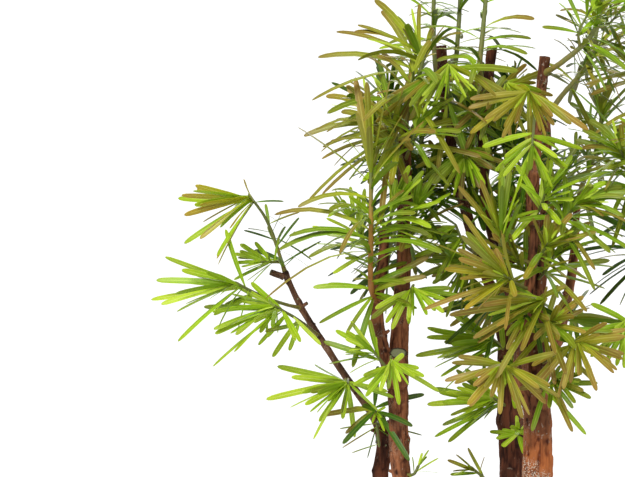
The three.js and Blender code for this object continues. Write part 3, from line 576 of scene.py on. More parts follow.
# ---------------------------------------------------------------------------------------------------- finishes
@dataclass(frozen=True)
class BarkFinish:
    """Flaking bark: streaked with fibre, with grey flecks and a pale crust. Its cracks are darkened by painted shade;
    its raised plates are paler, partly their own colour and partly a painted highlight.

    Where the wood is cut it is bare. "above" gives the two heights in metres between which the red bark takes over.
    """

    name: str
    slot: str
    # crack is painted shade down in the cracks, and also the colour of broad random dark patches; plate is partly a
    # painted highlight
    crack: Colour
    body: Colour
    plate: Colour
    fleck: Colour = (172, 158, 142)
    crust: Colour = (204, 192, 172)
    flecks: float = 0.35
    lichen: float = 0.15
    above: tuple[float, float] | None = None
    cut_rim: Colour = (58, 44, 34)
    cut_wood: Colour = (132, 134, 102)

    def colours(self, s: Shader, lift: Socket) -> Socket:
        """The bark's colours by height of relief: painted shade in the cracks, partly a painted highlight on the
        plates.
        """
        return s.ramp(lift, (0.16, self.crack), (0.4, self.body), (0.7, self.plate))

    def material(self) -> bpy.types.Material:
        """The material; the mesh's marks "relief" and "cut" say how high a place stands and whether it is cut wood.

        Returns:
            The bark's material.
        """
        s = Shader(self.name, Roughness=0.85, Specular_IOR_Level=0.2)
        relief, cut = s.mark("relief"), s.mark("cut")
        fibre = s.grain(620, 4, (1, 1, 0.13))
        streak = s.grain(190, 3, (1, 1, 0.16))
        broad = s.grain(55, 2, (1, 1, 0.4))
        # low relief takes the crack colour, painted shade; high relief takes the plate colour, partly a painted
        # highlight
        lift = relief * 0.62 + fibre * 0.55 + streak * 0.3 - 0.26
        bark, lichen = self.colours(s, lift), self.lichen
        if self.above:
            height = s.node("ShaderNodeSeparateXYZ", values={0: s.places()}, output=2)
            high = (height + broad * 0.03).step(*self.above)
            bark = s.blend(high, bark, RED.colours(s, lift))
            lichen = (1 - high) * self.lichen + 0.1
        bark = s.blend(broad.step(0.42, 0.66) * 0.64, bark, self.crack)
        spots = s.grain(300, 2, (1, 1, 0.7)).step(0.62, 0.7) * relief.step(0.3, 0.7) * broad.step(0.3, 0.6)
        bark = s.blend(spots * self.flecks, bark, self.fleck)
        crust = s.grain(46, 3).step(0.5, 0.64) * s.grain(850, 2).step(0.5, 0.6)
        bark = s.blend(crust * lichen, bark, self.crust)
        rings = cut + fibre * 0.16 - 0.08
        wood = s.ramp(rings, (0.2, self.cut_rim), (0.62, self.cut_rim), (0.8, self.cut_wood))
        s.feed("Base Color", s.blend(cut.step(0.04, 0.2), bark, wood))
        s.bump(fibre * 0.5 + streak * 0.5 + relief * 0.4, 0.0011, 0.9)
        return s.material


@dataclass(frozen=True)
class ShootFinish:
    """Young shoots: green at the tip, tan and then brown towards the wood."""

    name: str = "shoots"
    young: Colour = (104, 112, 50)
    tan: Colour = (180, 128, 46)
    brown: Colour = (140, 84, 38)

    def material(self) -> bpy.types.Material:
        """The material; the mesh's mark "age" runs from 0, green, to 1, brown.

        Returns:
            The shoots' material.
        """
        s = Shader(self.name, Roughness=0.55)
        age = s.mark("age")
        fine = s.grain(700, 3, (1, 1, 0.3))
        aged = age + fine * 0.3 - 0.15
        s.feed("Base Color", s.ramp(aged, (0.12, self.young), (0.5, self.tan), (0.92, self.brown)))
        s.bump(fine, 0.0004, 0.5)
        return s.material


BLADE_ON_MAP = 0.42  # half a blade's width on the map, in columns
FOOT_ON_MAP, RUN_ON_MAP, TIP_ON_MAP = 0.03, 0.95, 0.995  # a blade's foot, its run and its tip along the map


@dataclass(frozen=True)
class LeafFinish:
    """One tone of leaf: a light foot, a tinged tip, a pale midrib, a pale edge that is partly a painted highlight, and
    an underside darkened by painted shade, a little apart leaf by leaf.
    """

    foot: Colour
    blade: Colour
    tip: Colour
    tinge: float
    # under is a darker copy of the blade, painted shade on the underside; the top is also mottled towards it at random
    under: Colour
    rib: Colour
    columns: int = 48

    def material(self, name: str) -> bpy.types.Material:
        """The material; each leaf lies in one column of the map, its underside half the map further on.

        Args:
            name: the material's name.

        Returns:
            The leaves' material.
        """
        s = Shader(name, Roughness=0.42, Specular_IOR_Level=0.3, Subsurface_Weight=0.08, Subsurface_Scale=0.002,
                   Subsurface_Radius=(1.0, 1.0, 0.2))
        u, v = s.map_places()
        place = u * self.columns
        column, side = place.floor(), abs(place.part() - 0.5) * (1 / BLADE_ON_MAP)
        chance, other = (s.node("ShaderNodeTexWhiteNoise", {"noise_dimensions": "1D"}, {"W": w})
                         for w in (column, column + 77.7))
        colour = s.blend((v + chance * 0.4 - 0.2).step(0.0, 0.62), self.foot, self.blade)
        colour = s.blend((v + other * 0.5 - 0.25).step(0.3, 0.95) * self.tinge, colour, self.tip)
        colour = s.blend((1 - side.step(0.04, 0.22)) * (1 - v.step(0.75, 1.0)) * 0.62, colour, self.rib)
        # a lighter margin: partly the leaf's pale edge, partly a painted highlight
        colour = s.blend(side.step(0.8, 0.98) * 0.42, colour, self.rib)
        colour = s.blend(s.grain(260, 2).step(0.35, 0.75) * 0.16, colour, self.under)
        # the underside takes the under colour: painted shade
        s.feed("Base Color", s.blend((u > 0.5) * 0.6, colour, self.under))
        return s.material


@dataclass(frozen=True)
class StonewareFinish:
    """Matt warm-grey stoneware with fine dark specks."""

    name: str = "stoneware"
    clay: Colour = (150, 145, 137)
    shade: Colour = (126, 121, 113)
    speck: Colour = (70, 62, 55)

    def material(self) -> bpy.types.Material:
        """The material.

        Returns:
            The pot's material.
        """
        s = Shader(self.name, Roughness=0.62, Specular_IOR_Level=0.35)
        cloud = s.grain(9, 4)
        fine = s.grain(620, 3)
        speck = s.grain(420, 1).step(0.7, 0.78)
        colour = s.blend(cloud.step(0.3, 0.72), self.clay, self.shade)
        colour = s.blend(fine * 0.14, colour, self.speck)
        s.feed("Base Color", s.blend(speck * 0.75, colour, self.speck))
        s.bump(fine, 0.0004, 0.5)
        return s.material


@dataclass(frozen=True)
class MixFinish:
    """Damp potting mix, or the bark chips in it."""

    name: str
    dark: Colour = (38, 28, 22)
    light: Colour = (84, 62, 46)

    def material(self) -> bpy.types.Material:
        """The material.

        Returns:
            The soil's material.
        """
        s = Shader(self.name, Roughness=0.9, Specular_IOR_Level=0.2)
        coarse, fine = s.grain(150, 4), s.grain(800, 3)
        s.feed("Base Color", s.blend(coarse.step(0.35, 0.75), self.dark, self.light))
        s.bump(fine, 0.001, 0.8)
        return s.material


class Tone(Enum):
    """The leaf tones that are dealt out by spray."""

    # each tone's fifth colour is the painted shade of its underside
    LIME = LeafFinish((176, 208, 34), (146, 186, 16), (160, 170, 22), 0.5, (102, 138, 12), (196, 216, 84))
    GOLD = LeafFinish((182, 196, 28), (172, 172, 24), (160, 122, 38), 0.75, (132, 134, 28), (200, 202, 84))
    GREEN = LeafFinish((156, 188, 26), (112, 148, 14), (122, 114, 28), 0.65, (76, 108, 10), (168, 190, 66))
    OLIVE = LeafFinish((168, 184, 30), (136, 142, 22), (132, 102, 42), 0.85, (98, 110, 20), (180, 184, 76))
    # painted shade: a darker copy of the green for leaves at the back, inside and under the crown
    DEEP = LeafFinish((90, 134, 12), (56, 96, 6), (76, 88, 14), 0.6, (42, 74, 4), (108, 140, 34))
    BRONZE = LeafFinish((174, 182, 34), (154, 148, 32), (150, 112, 50), 0.8, (118, 120, 32), (196, 188, 92))
    FRESH = LeafFinish((202, 222, 86), (180, 208, 38), (172, 186, 42), 0.4, (134, 164, 34), (218, 228, 126))


RED = BarkFinish("bark_red", "bark_red", (18, 10, 6), (82, 44, 27), (154, 96, 62))
# a darker copy of the red bark: painted shade on the limbs at the back and on the root crown
SHADED_BARK = BarkFinish("bark_dark", "bark_dark", (18, 9, 6), (64, 31, 20), (110, 62, 41), flecks=0.25)
ORANGE = BarkFinish("bark_orange", "bark_light", (36, 16, 9), (116, 57, 29), (170, 98, 52), flecks=0.6, lichen=0.8,
                    above=(0.355, 0.405))
BOUGH = BarkFinish("bark_bough", "bark_light", (28, 18, 13), (70, 43, 29), (118, 82, 60), flecks=0.3)


# ---------------------------------------------------------------------------------------------------- limbs
@dataclass(frozen=True)
class Stub:
    """The cut or broken foot of an old twig."""

    mark: Triple
    reach: Triple
    length: float
    width: float

    def skin(self, rough: float, seed: int) -> Surface:
        """The stub's bark and its cut face.

        Args:
            rough: how strong its relief is.
            seed: which pattern.

        Returns:
            Both as one surface.
        """
        foot = DRAWING.place([self.mark])[0]
        line = Curve(np.array([foot, foot + unit(np.array(self.reach)) * self.length]))
        taper = self.width * DRAWING.unit * 0.5 * np.linspace(1.12, 1.0, len(EVEN))
        return bark_tube(line, taper, rough, seed, step=FINE_FACE)


@dataclass(frozen=True)
class Limb:
    """One stem or bough: its centre line with its width at each mark, its bark, and the knots and stubs on it.

    A knot is (down, lean, size): how far down the drawing, from -1 at the left edge to 1 at the right, and millimetres.
    A stem with a foot stands on the root: it starts "rise" above the soil, widened by "flare" there and at its knee.
    """

    name: str
    marks: tuple[tuple[float, float, float, float], ...]
    bark: BarkFinish
    foot: tuple[float, float] | None = None
    stubs: tuple[Stub, ...] = ()
    knots: tuple[Triple, ...] = ()
    rough: float = 1.3
    soil: float = 215.0
    rise: float = 34.0
    knee: tuple[float, float] = (0.42, 4.0)
    flare: tuple[float, float] = (1.22, 1.07)

    def path(self) -> tuple[Curve, Array, Array]:
        """The centre line, the shares at which its marks lie, and the half widths there.

        Returns:
            The curve, a share for each mark and a half width for each.
        """
        points = DRAWING.place(self.marks)
        halves = np.array([m[3] for m in self.marks]) * DRAWING.unit * 0.5
        if self.foot:
            foot, (share, up) = np.array([*self.foot, self.soil + self.rise]), self.knee
            points = np.vstack([foot, foot + (points[0] - foot) * share + (0, 0, up), points])
            halves = np.concatenate([halves[0] * np.array(self.flare), halves])
        curve = Curve(points)
        return curve, np.array([curve.nearest(p) for p in points]), halves

    def spine(self) -> tuple[Curve, Array]:
        """The centre line, and the half widths at even shares by soft steps from mark to mark.

        Returns:
            The curve and the half widths, one for each of EVEN.
        """
        curve, at, halves = self.path()
        i = np.clip(np.searchsorted(at, EVEN, side="left") - 1, 0, len(at) - 2)
        k = np.clip((EVEN - at[i]) / np.maximum(at[i + 1] - at[i], 1e-9), 0, 1)
        return curve, halves[i] + (halves[i + 1] - halves[i]) * k * k * (3 - 2 * k)

    def knots_on(self, curve: Curve) -> list[Triple]:
        """The knots as (share, angle, size): the angle is that of the frame's cross directions towards the viewer.

        Args:
            curve: the limb's centre line.

        Returns:
            One (share, angle, size) for each knot.
        """
        out = []
        shares = np.linspace(0, 1, DRAWING.sought)
        shown = DRAWING.shown(curve.at(shares))
        for down, lean, size in self.knots:
            share = shares[np.argmin(np.abs(shown[:, 1] - down))]
            _, _, side, other = (x[0] for x in curve.frames(np.array([share])))
            towards = unit(np.array([lean, -math.sqrt(max(0.0, 1 - lean * lean)), 0.0]))
            out.append((float(share), math.atan2(float(towards @ other), float(towards @ side)), size))
        return out


WARP, CRACK, CROSS, PLATE, GRAIN = (6, 30), (3.2, 19), (7, 8), (3.6, 11), (1.3, 4)  # cells of the bark's noises
SUNK = 1.1  # how far the bottom of a crack lies below the stem's own width, in millimetres
USUAL_RADIUS = 8.0  # radius of the stem that the relief's height is given for
CUT_AT = np.array([0.93, 0.82, 0.6, 0.3])  # rings of a cut face, by shares of the radius
CUT_RISE = np.array([0.35, 0.3, 0.1, 0.0])  # how far each stands beyond the limb's end, in millimetres
CUT_MARK = np.array([0.3, 0.62, 0.86, 1.0])  # how much of each is bare wood


def cleft(value: Array, width: float) -> Array:
    """0 where a noise passes a half, rising to 1 at a distance from it."""
    return np.clip(np.abs(value - 0.5) / width, 0, 1)


def bark_height(angle: Array, along: Array, radius: Array, seed: int) -> tuple[Array, Array]:
    """Relief of old bark on a round stem.

    Cracks lie where a noise stretched along the stem passes a half; thin plates stand where a coarser one is high; a
    fine grain lies over both.

    Args:
        angle, along, radius: place round the stem, along it in millimetres, and its radius, as grids.
        seed: which pattern.

    Returns:
        The height in millimetres for a stem of 8 mm radius, and the relief from 0, in a crack, to 1, on a plate.
    """
    def grid(cell: tuple[float, float]) -> Array:
        """Cells that meet round the stem, by their size round it and along it in millimetres."""
        return np.stack([np.cos(angle) * radius / cell[0], np.sin(angle) * radius / cell[0], along / cell[1]], -1)

    warp = noise(grid(WARP), seed + 1)
    crack = cleft(noise(grid(CRACK) + warp[..., None] * 1.5, seed + 2), 0.1)
    cross = cleft(noise(grid(CROSS) + warp[..., None], seed + 3), 0.05)
    plate = smooth(0.46, 0.6, noise(grid(PLATE), seed + 4))
    fine = noise(grid(GRAIN), seed + 5)
    height = 0.75 * crack + 0.2 * cross + 0.5 * plate + 0.3 * fine - SUNK
    # the relief picks the bark's colours: painted shade in the cracks at 0, a partly painted highlight towards 1
    return height, np.clip(0.1 + 0.34 * crack + 0.12 * cross + 0.26 * plate + 0.22 * fine, 0, 1)


def bark_tube(curve: Curve, half: Array, rough: float, seed: int, knots: Sequence[Triple] = (),
              collar: float = 0.0, step: float = FACE) -> Surface:
    """A limb's bark: a tube with its taper, slow flutes, the bark's relief, knots, and a cut face at the end.

    Args:
        curve: centre line.
        half: half widths in millimetres at even shares.
        rough: how strong the relief is.
        seed: which pattern.
        knots: (share, angle, size) of each knot.
        collar: how much the foot widens where it leaves its parent.
        step: size of a face in millimetres.

    Returns:
        The surface, with the marks "relief" and "cut".
    """
    rows = max(8, round(curve.length / step))
    share = np.linspace(0, 1, rows + 1)
    widths = np.interp(share, EVEN, half)
    n = int(np.clip(round(2 * math.pi * widths.max() / step), *ROUND))
    angle = np.broadcast_to(full_turn(n), (rows + 1, n))
    along = np.broadcast_to((share * curve.length)[:, None], angle.shape)
    radius = np.broadcast_to(widths[:, None], angle.shape)
    height, relief = bark_height(angle, along, radius, seed)
    flute = 0.07 * np.sin(2 * angle + along / 31 + seed) + 0.05 * np.sin(3 * angle - along / 47 + 2 * seed)
    swell = 0.08 * (noise(np.stack([along / 26, along * 0 + seed, along * 0], -1), seed + 6) - 0.5)
    coarse = rough * np.clip(radius / USUAL_RADIUS, 0.25, 1.2)
    reach = radius * (1 + flute + swell + collar * np.exp(-along / 7)) + height * coarse
    for at, turn, size in knots:
        beside = np.abs((angle - turn + math.pi) % (2 * math.pi) - math.pi) * radius
        apart = np.sqrt(beside**2 + ((along - at * curve.length) * 0.8) ** 2) / size
        reach = reach + size * 0.5 * np.exp(-(apart**2) * 1.2) - size * 0.3 * np.exp(-(apart**2) * 12)
        # a knot's sunken middle gets low relief, and so the painted shade of the cracks
        relief = relief * (1 - 0.75 * np.exp(-((apart * 1.8) ** 2))) + 0.15 * np.exp(-((apart - 1) ** 2) * 6)
    at, way, spread = curve.spokes(share, angle)
    about = angle[: len(CUT_AT)]
    cells = np.stack([np.cos(about) * 3, np.sin(about) * 3, CUT_AT[:, None] * 4 + 0 * about], -1)
    rise = CUT_RISE[:, None, None] + 0.25 * (noise(cells, seed)[..., None] - 0.5)
    cap = at[-1] + spread[-1] * (reach[-1] * CUT_AT[:, None])[..., None] + way[-1] * rise
    rings = np.concatenate([at[:, None] + spread * reach[..., None], cap])
    marks = {"relief": np.concatenate([relief, np.full(cap.shape[:2], 0.5)]),
             "cut": np.concatenate([np.zeros_like(relief), CUT_MARK[:, None] + np.zeros(cap.shape[:2])])}
    return tube(rings, at[0], at[-1], marks)


@dataclass
class Woodwork:
    """The clump's stems and boughs. Each is a mesh of its own in place of its solid."""

    limbs: tuple[Limb, ...]
    scar_every: float = 19.0
    spurless: float = 0.55
    collar: float = 0.45

    def scars(self, curve: Curve, half: Array, seed: int) -> tuple[list[Triple], list[Surface]]:
        """Leaf scars and broken spurs at chance along a limb: (share, angle, size) of each scar, and the spurs.

        Args:
            curve: the limb's centre line.
            half: its half widths at even shares.
            seed: which pattern.

        Returns:
            The scars, and the surfaces of the spurs.
        """
        count = max(2, round(curve.length / self.scar_every))
        r = draws(seed * 53 + np.arange(count) * 19, 6)
        share = 0.03 + 0.93 * (np.arange(count) + r[:, 0]) / count
        angle = 2 * math.pi * r[:, 1]
        radius = np.interp(share, EVEN, half)
        at, way, spokes = curve.spokes(share, angle[:, None])
        spurs = []
        for k in range(count):
            if r[k, 2] > self.spurless:
                out = spokes[k, 0]
                tip = at[k] + out * (radius[k] + 1.2 + 3.4 * r[k, 3]) + way[k] * (1 + 3 * r[k, 4])
                taper = np.linspace(1.9, 1.1, len(EVEN)) * (0.7 + 0.5 * r[k, 5])
                line = Curve(np.array([at[k] + out * radius[k] * 0.6, tip]))
                spurs.append(bark_tube(line, taper, 0.4, seed + k, step=FINE_FACE))
        return list(zip(share.tolist(), angle.tolist(), (1.0 + 2.0 * r[:, 3] ** 2).tolist())), spurs

    def build(self) -> None:
        """Makes every limb with its stubs and puts it in place of its solid."""
        finishes: dict[str, bpy.types.Material] = {}
        for number, limb in enumerate(self.limbs):
            if limb.bark.name not in finishes:
                finishes[limb.bark.name] = limb.bark.material()
            curve, half = limb.spine()
            seed = 100 + number * 17
            scars, spurs = self.scars(curve, half, seed)
            collar = 0.0 if limb.foot else self.collar
            parts = [bark_tube(curve, half, limb.rough, seed, limb.knots_on(curve) + scars, collar), *spurs]
            parts += [stub.skin(limb.rough * 0.8, seed + 5 + k) for k, stub in enumerate(limb.stubs)]
            piece = Surface.joined(parts).piece("bark_of_" + limb.name, finishes[limb.bark.name])
            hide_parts(limb.name)

    def samples(self) -> tuple[Array, Array]:
        """Points along every limb and their radii, for keeping leaves clear of the wood.

        Returns:
            Points, (n, 3), and a radius for each, in millimetres.
        """
        points, radii = [], []
        for limb in self.limbs:
            curve, half = limb.spine()
            share = np.linspace(0, 1, max(8, round(curve.length / 3)))
            points.append(curve.at(share))
            radii.append(np.interp(share, EVEN, half))
        return np.concatenate(points), np.concatenate(radii)


LIMBS = (
    Limb("stem_left", ((402, 477, -18, 19), (399, 425, -20, 18.5), (398, 360, -20, 17.5), (402, 290, -20, 16),
                       (404, 215, -20, 13), (405, 130, -20, 11)), RED,
         foot=(-95, -14), stubs=(Stub((398, 382, -24), (-0.02, -0.46, 0.87), 30, 19),),
         knots=((322, -0.6, 3), (440, 0.4, 3.5), (268, 0.5, 2.5), (470, -0.5, 3))),
    Limb("limb_left_front", ((396, 386, -20, 12), (387, 362, -27, 13.5), (379, 338, -31, 13), (377, 300, -31, 12),
                             (383, 262, -30, 11), (385, 229, -30, 10.5)), RED,
         knots=((297, -0.8, 3.2), (322, -0.9, 2.6), (350, 0.4, 2.6), (247, 0.5, 2.2))),
    Limb("stem_left_rear", ((381, 477, 27, 15), (384, 444, 26, 14.5), (377, 414, 24, 13)), SHADED_BARK, foot=(-108, 24),
         knots=((470, -0.9, 3),)),
    Limb("bough_left", ((382, 432, 26, 9), (369, 409, 20, 9), (348, 380, 15, 7.5), (328, 350, 12, 6.8),
                        (300, 305, 10, 6), (285, 272, 9, 5)), BOUGH,
         knots=((273, 0.2, 3.4), (280, -0.8, 3.4), (303, 0.8, 2.8), (308, -0.6, 2.4), (350, 0.8, 2.4),
                (379, -0.3, 2.6)), rough=0.8,
         stubs=(Stub((284, 277, 9), (-0.9, -0.2, 0.35), 13, 6), Stub((301, 307, 10), (0.75, -0.3, 0.5), 7, 3.4)),),
    Limb("stem_rear", ((513, 477, 20, 27), (511, 430, 20, 25), (508, 395, 20, 20), (505, 330, 20, 14),
                       (506, 265, 20, 11), (507, 200, 21, 9), (510, 140, 22, 8)), SHADED_BARK,
         foot=(-14, 28), knots=((300, 0.2, 3), (420, -0.4, 4)), rough=0.8),
    Limb("limb_rear_left", ((504, 345, 20, 9), (488, 282, 14, 10), (467, 216, 8, 11), (455, 165, 5, 10.5),
                            (446, 108, 3, 10), (441, 46, 0, 9)), SHADED_BARK,
         knots=((96, 0.3, 2.6), (190, -0.4, 2.6))),
    Limb("limb_rear_right", ((505, 318, 20, 8), (498, 262, 4, 9), (487, 208, -5, 10), (483, 160, -8, 10.5),
                             (486, 105, -9, 10.5), (492, 47, -10, 9.5)), SHADED_BARK,
         stubs=(Stub((484, 186, -6), (-0.3, 0.1, 0.95), 44, 6),), knots=((130, 0.1, 2.8), (150, -0.6, 2.4))),
    Limb("stem_front", ((537, 477, -45, 27), (537.5, 430, -45, 25.5), (536, 398, -46, 24), (537, 372, -45, 19),
                        (537, 330, -43, 15), (533, 245, -40, 13), (533, 190, -40, 12.5), (537, 125, -41, 11.5),
                        (545, 57, -42, 10)), ORANGE,
         foot=(9, -34), knots=((405, -0.55, 4.5), (372, -0.3, 3.5), (330, 0.4, 3), (270, -0.2, 2.6), (170, 0.1, 2.6),
                               (440, 0.5, 4))),
    Limb("limb_front_left", ((533, 412, -47, 13), (522, 385, -56, 13.5), (522, 335, -62, 11.5), (531, 275, -64, 9.5),
                             (535, 226, -64, 8.5)), RED,
         knots=((352, 0.5, 2.8), (300, -0.4, 2.4))),
    Limb("stem_right", ((641, 477, -10, 19), (644, 430, -12, 18), (647, 360, -12, 17), (645, 300, -12, 15),
                        (650, 220, -12, 13), (655, 125, -12, 11)), RED,
         foot=(94, -8), knots=((430, 0.2, 3.4), (320, -0.5, 3))),
    Limb("limb_right_front", ((647, 392, -12, 12), (659, 352, -24, 12.5), (668, 300, -28, 11), (668, 250, -28, 10),
                              (662, 205, -28, 9.5)), RED, knots=((300, 0.5, 2.6),)),
    Limb("stem_right_rear", ((661, 477, 34, 15), (658, 444, 36, 14), (665, 414, 34, 12)), SHADED_BARK, foot=(110, 28)),
    Limb("bough_right", ((660, 432, 36, 9), (673, 408, 30, 9), (696, 376, 24, 7.5), (722, 338, 20, 6.8),
                         (748, 296, 18, 6), (760, 258, 16, 5)), BOUGH,
         knots=((300, -0.5, 2.6), (345, 0.5, 2.6)), rough=0.8),
    Limb("stem_back", ((537, 477, 84, 17), (541, 400, 88, 16), (537, 330, 90, 14.5), (542, 250, 92, 12),
                       (547, 170, 94, 10.5), (546, 118, 95, 9.5)), RED,
         foot=(14, 74), knots=((380, 0.2, 3),)),
    Limb("limb_back_right", ((540, 392, 88, 10), (560, 330, 112, 11), (572, 270, 122, 9.5), (577, 205, 126, 8.5)), RED),
    Limb("limb_back_left", ((540, 372, 88, 9), (515, 318, 108, 10), (500, 262, 120, 9), (492, 208, 124, 8)), SHADED_BARK),
)


@dataclass
class RootCrown:
    """The woody root that all stems share: an arm to each stem's foot, made one skin and cut flat at the soil."""

    limbs: tuple[Limb, ...]
    x: float = 2.0
    y: float = 10.0
    radius: float = 27.0
    cut: float = 215.3
    voxel: float = 1.4
    sunk: float = 4.0
    bed: float = 10.0
    rows: int = 40
    around: int = 28

    def arm(self, limb: Limb) -> Surface:
        """One arm as a plain tube: its radius falls by soft steps from the crown's to the stem's.

        Args:
            limb: the stem that the arm ends in.

        Returns:
            The arm's surface.
        """
        curve, _, halves = limb.path()
        foot, r = curve.at(np.array([0.0]))[0], float(halves[0])
        out = np.array([foot[0] - self.x, foot[1] - self.y, 0.0])
        reach = float(np.linalg.norm(out))
        out = out / reach
        inner = np.array([self.x, self.y, self.cut])
        near = np.array([foot[0], foot[1], self.cut + self.bed]) - out * r * 0.35
        start = inner - (0, 0, self.sunk) - out * self.sunk
        line = Curve(np.array([start, inner + out * reach * 0.45, near, foot + (0, 0, 3)]))
        share = np.linspace(0, 1, self.rows)
        size = self.radius + (r * (1.25 - 0.25 * smooth(0.75, 1, share)) - self.radius) * smooth(0, 0.8, share)
        size[0] *= 0.6
        at, _, spread = line.spokes(share, full_turn(self.around))
        return tube(at[:, None] + spread * size[:, None, None], at[0], at[-1])

    def build(self) -> None:
        """Joins the arms by a fine remesh, lays bark on them, cuts them at the soil and replaces the solid."""
        rough = Surface.joined([self.arm(limb) for limb in self.limbs if limb.foot]).piece("arms", SHADED_BARK.material())
        skin = rough.modifiers.new("skin", "REMESH")
        skin.mode, skin.voxel_size = "VOXEL", self.voxel * MM
        soft = rough.modifiers.new("soft", "SMOOTH")
        soft.factor, soft.iterations = 0.5, 6
        made = rough.evaluated_get(bpy.context.evaluated_depsgraph_get())
        shape = made.to_mesh()
        points, normals = (np.empty(len(shape.vertices) * 3) for _ in range(2))
        shape.vertices.foreach_get("co", points)
        shape.vertices.foreach_get("normal", normals)
        faces = np.array([p.vertices[:] for p in shape.polygons if len(p.vertices) == 4])
        points, normals = points.reshape(-1, 3) / MM, normals.reshape(-1, 3)
        made.to_mesh_clear()
        bpy.data.objects.remove(rough)
        away = np.hypot(points[:, 0] - self.x, points[:, 1] - self.y)
        turn = np.arctan2(points[:, 1] - self.y, points[:, 0] - self.x)
        cells = np.stack([np.cos(turn) * 11 + points[:, 2] / 9, np.sin(turn) * 11, away / 17], -1)
        crack = cleft(noise(cells, 31), 0.11)
        plate = smooth(0.45, 0.6, noise(points / 6, 32))
        fine = noise(points / 1.9, 33)
        height = 1.2 * crack + 0.8 * plate + 0.4 * fine - 1.9
        points = points + normals * height[:, None]
        points[:, 2] = np.maximum(points[:, 2], self.cut)
        # low relief in the cracks takes the bark's painted shade
        relief = np.clip(0.08 + 0.4 * crack + 0.26 * plate + 0.26 * fine, 0, 1)
        marks = {"relief": relief, "cut": np.zeros(len(points))}
        whole = Surface(points, [faces], [map_from_above(points, faces)], marks)
        piece = whole.piece("bark_of_root", SHADED_BARK.material())
        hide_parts("root_crown")


# ---------------------------------------------------------------------------------------------------- foliage
THIN, FULL, FINE = 0.66, 0.95, 0.5  # widths of most shoots, of crown shoots and of sprigs, by that of the solid
BESIDE = {Tone.FRESH: (Tone.LIME, Tone.LIME), Tone.LIME: (Tone.FRESH, Tone.GREEN), Tone.GOLD: (Tone.LIME, Tone.BRONZE),
          Tone.GREEN: (Tone.OLIVE, Tone.LIME), Tone.OLIVE: (Tone.GREEN, Tone.BRONZE),
          Tone.DEEP: (Tone.GREEN, Tone.OLIVE), Tone.BRONZE: (Tone.OLIVE, Tone.GOLD)}  # tones mixed into each


@dataclass(frozen=True)
class LeafSet:
    """Leaves that turn round a shoot on a span of its length and open from it by degrees, oldest to youngest."""

    n: int
    length: float
    open: tuple[float, float]
    span: tuple[float, float]
    droop: float
    aim: Triple | None = None
    fill: float = 1.6
    tone: Tone | None = None
    slim: float = 1.0


@dataclass(frozen=True)
class Shoot:
    """A shoot's marks and its leaves; "leaves_at" is the share of its mass's first shoot that it grows from.

    "sets" are leaves that the solids have too, "finer" ones only the looks have.
    """

    way: tuple[Triple, ...]
    sets: tuple[LeafSet, ...]
    leaves_at: float | None = None
    tone: Tone | None = None
    finer: tuple[LeafSet, ...] = ()


@dataclass(frozen=True)
class Mass:
    """One mass of foliage: the limb it grows from, its place there, its tone and its shoots."""

    name: str
    on: str
    tone: Tone
    shoots: tuple[Shoot, ...]
    start: tuple[float, float] | None = None
    wood: float = 0.12
    young: int = 5
    sprigs: int = 0


@dataclass
class Leaves:
    """Many leaves as arrays, one row each."""

    at: Array
    way: Array
    face: Array
    bend: Array
    length: Array
    twist: Array
    width: Array

    def rows(self, keep: Array) -> "Leaves":
        """Some of the leaves."""
        return Leaves(**{key: values[keep] for key, values in vars(self).items()})

    @staticmethod
    def joined(parts: Sequence["Leaves"]) -> "Leaves":
        """Several lots of leaves as one."""
        return Leaves(**{key: np.concatenate([getattr(p, key) for p in parts]) for key in vars(parts[0])})

    def point(self, s: float) -> Array:
        """Each leaf's middle line at a share of its length: straight on, pulled by the square of the share."""
        return self.at + self.way * (s * self.length)[:, None] + self.bend * s * s


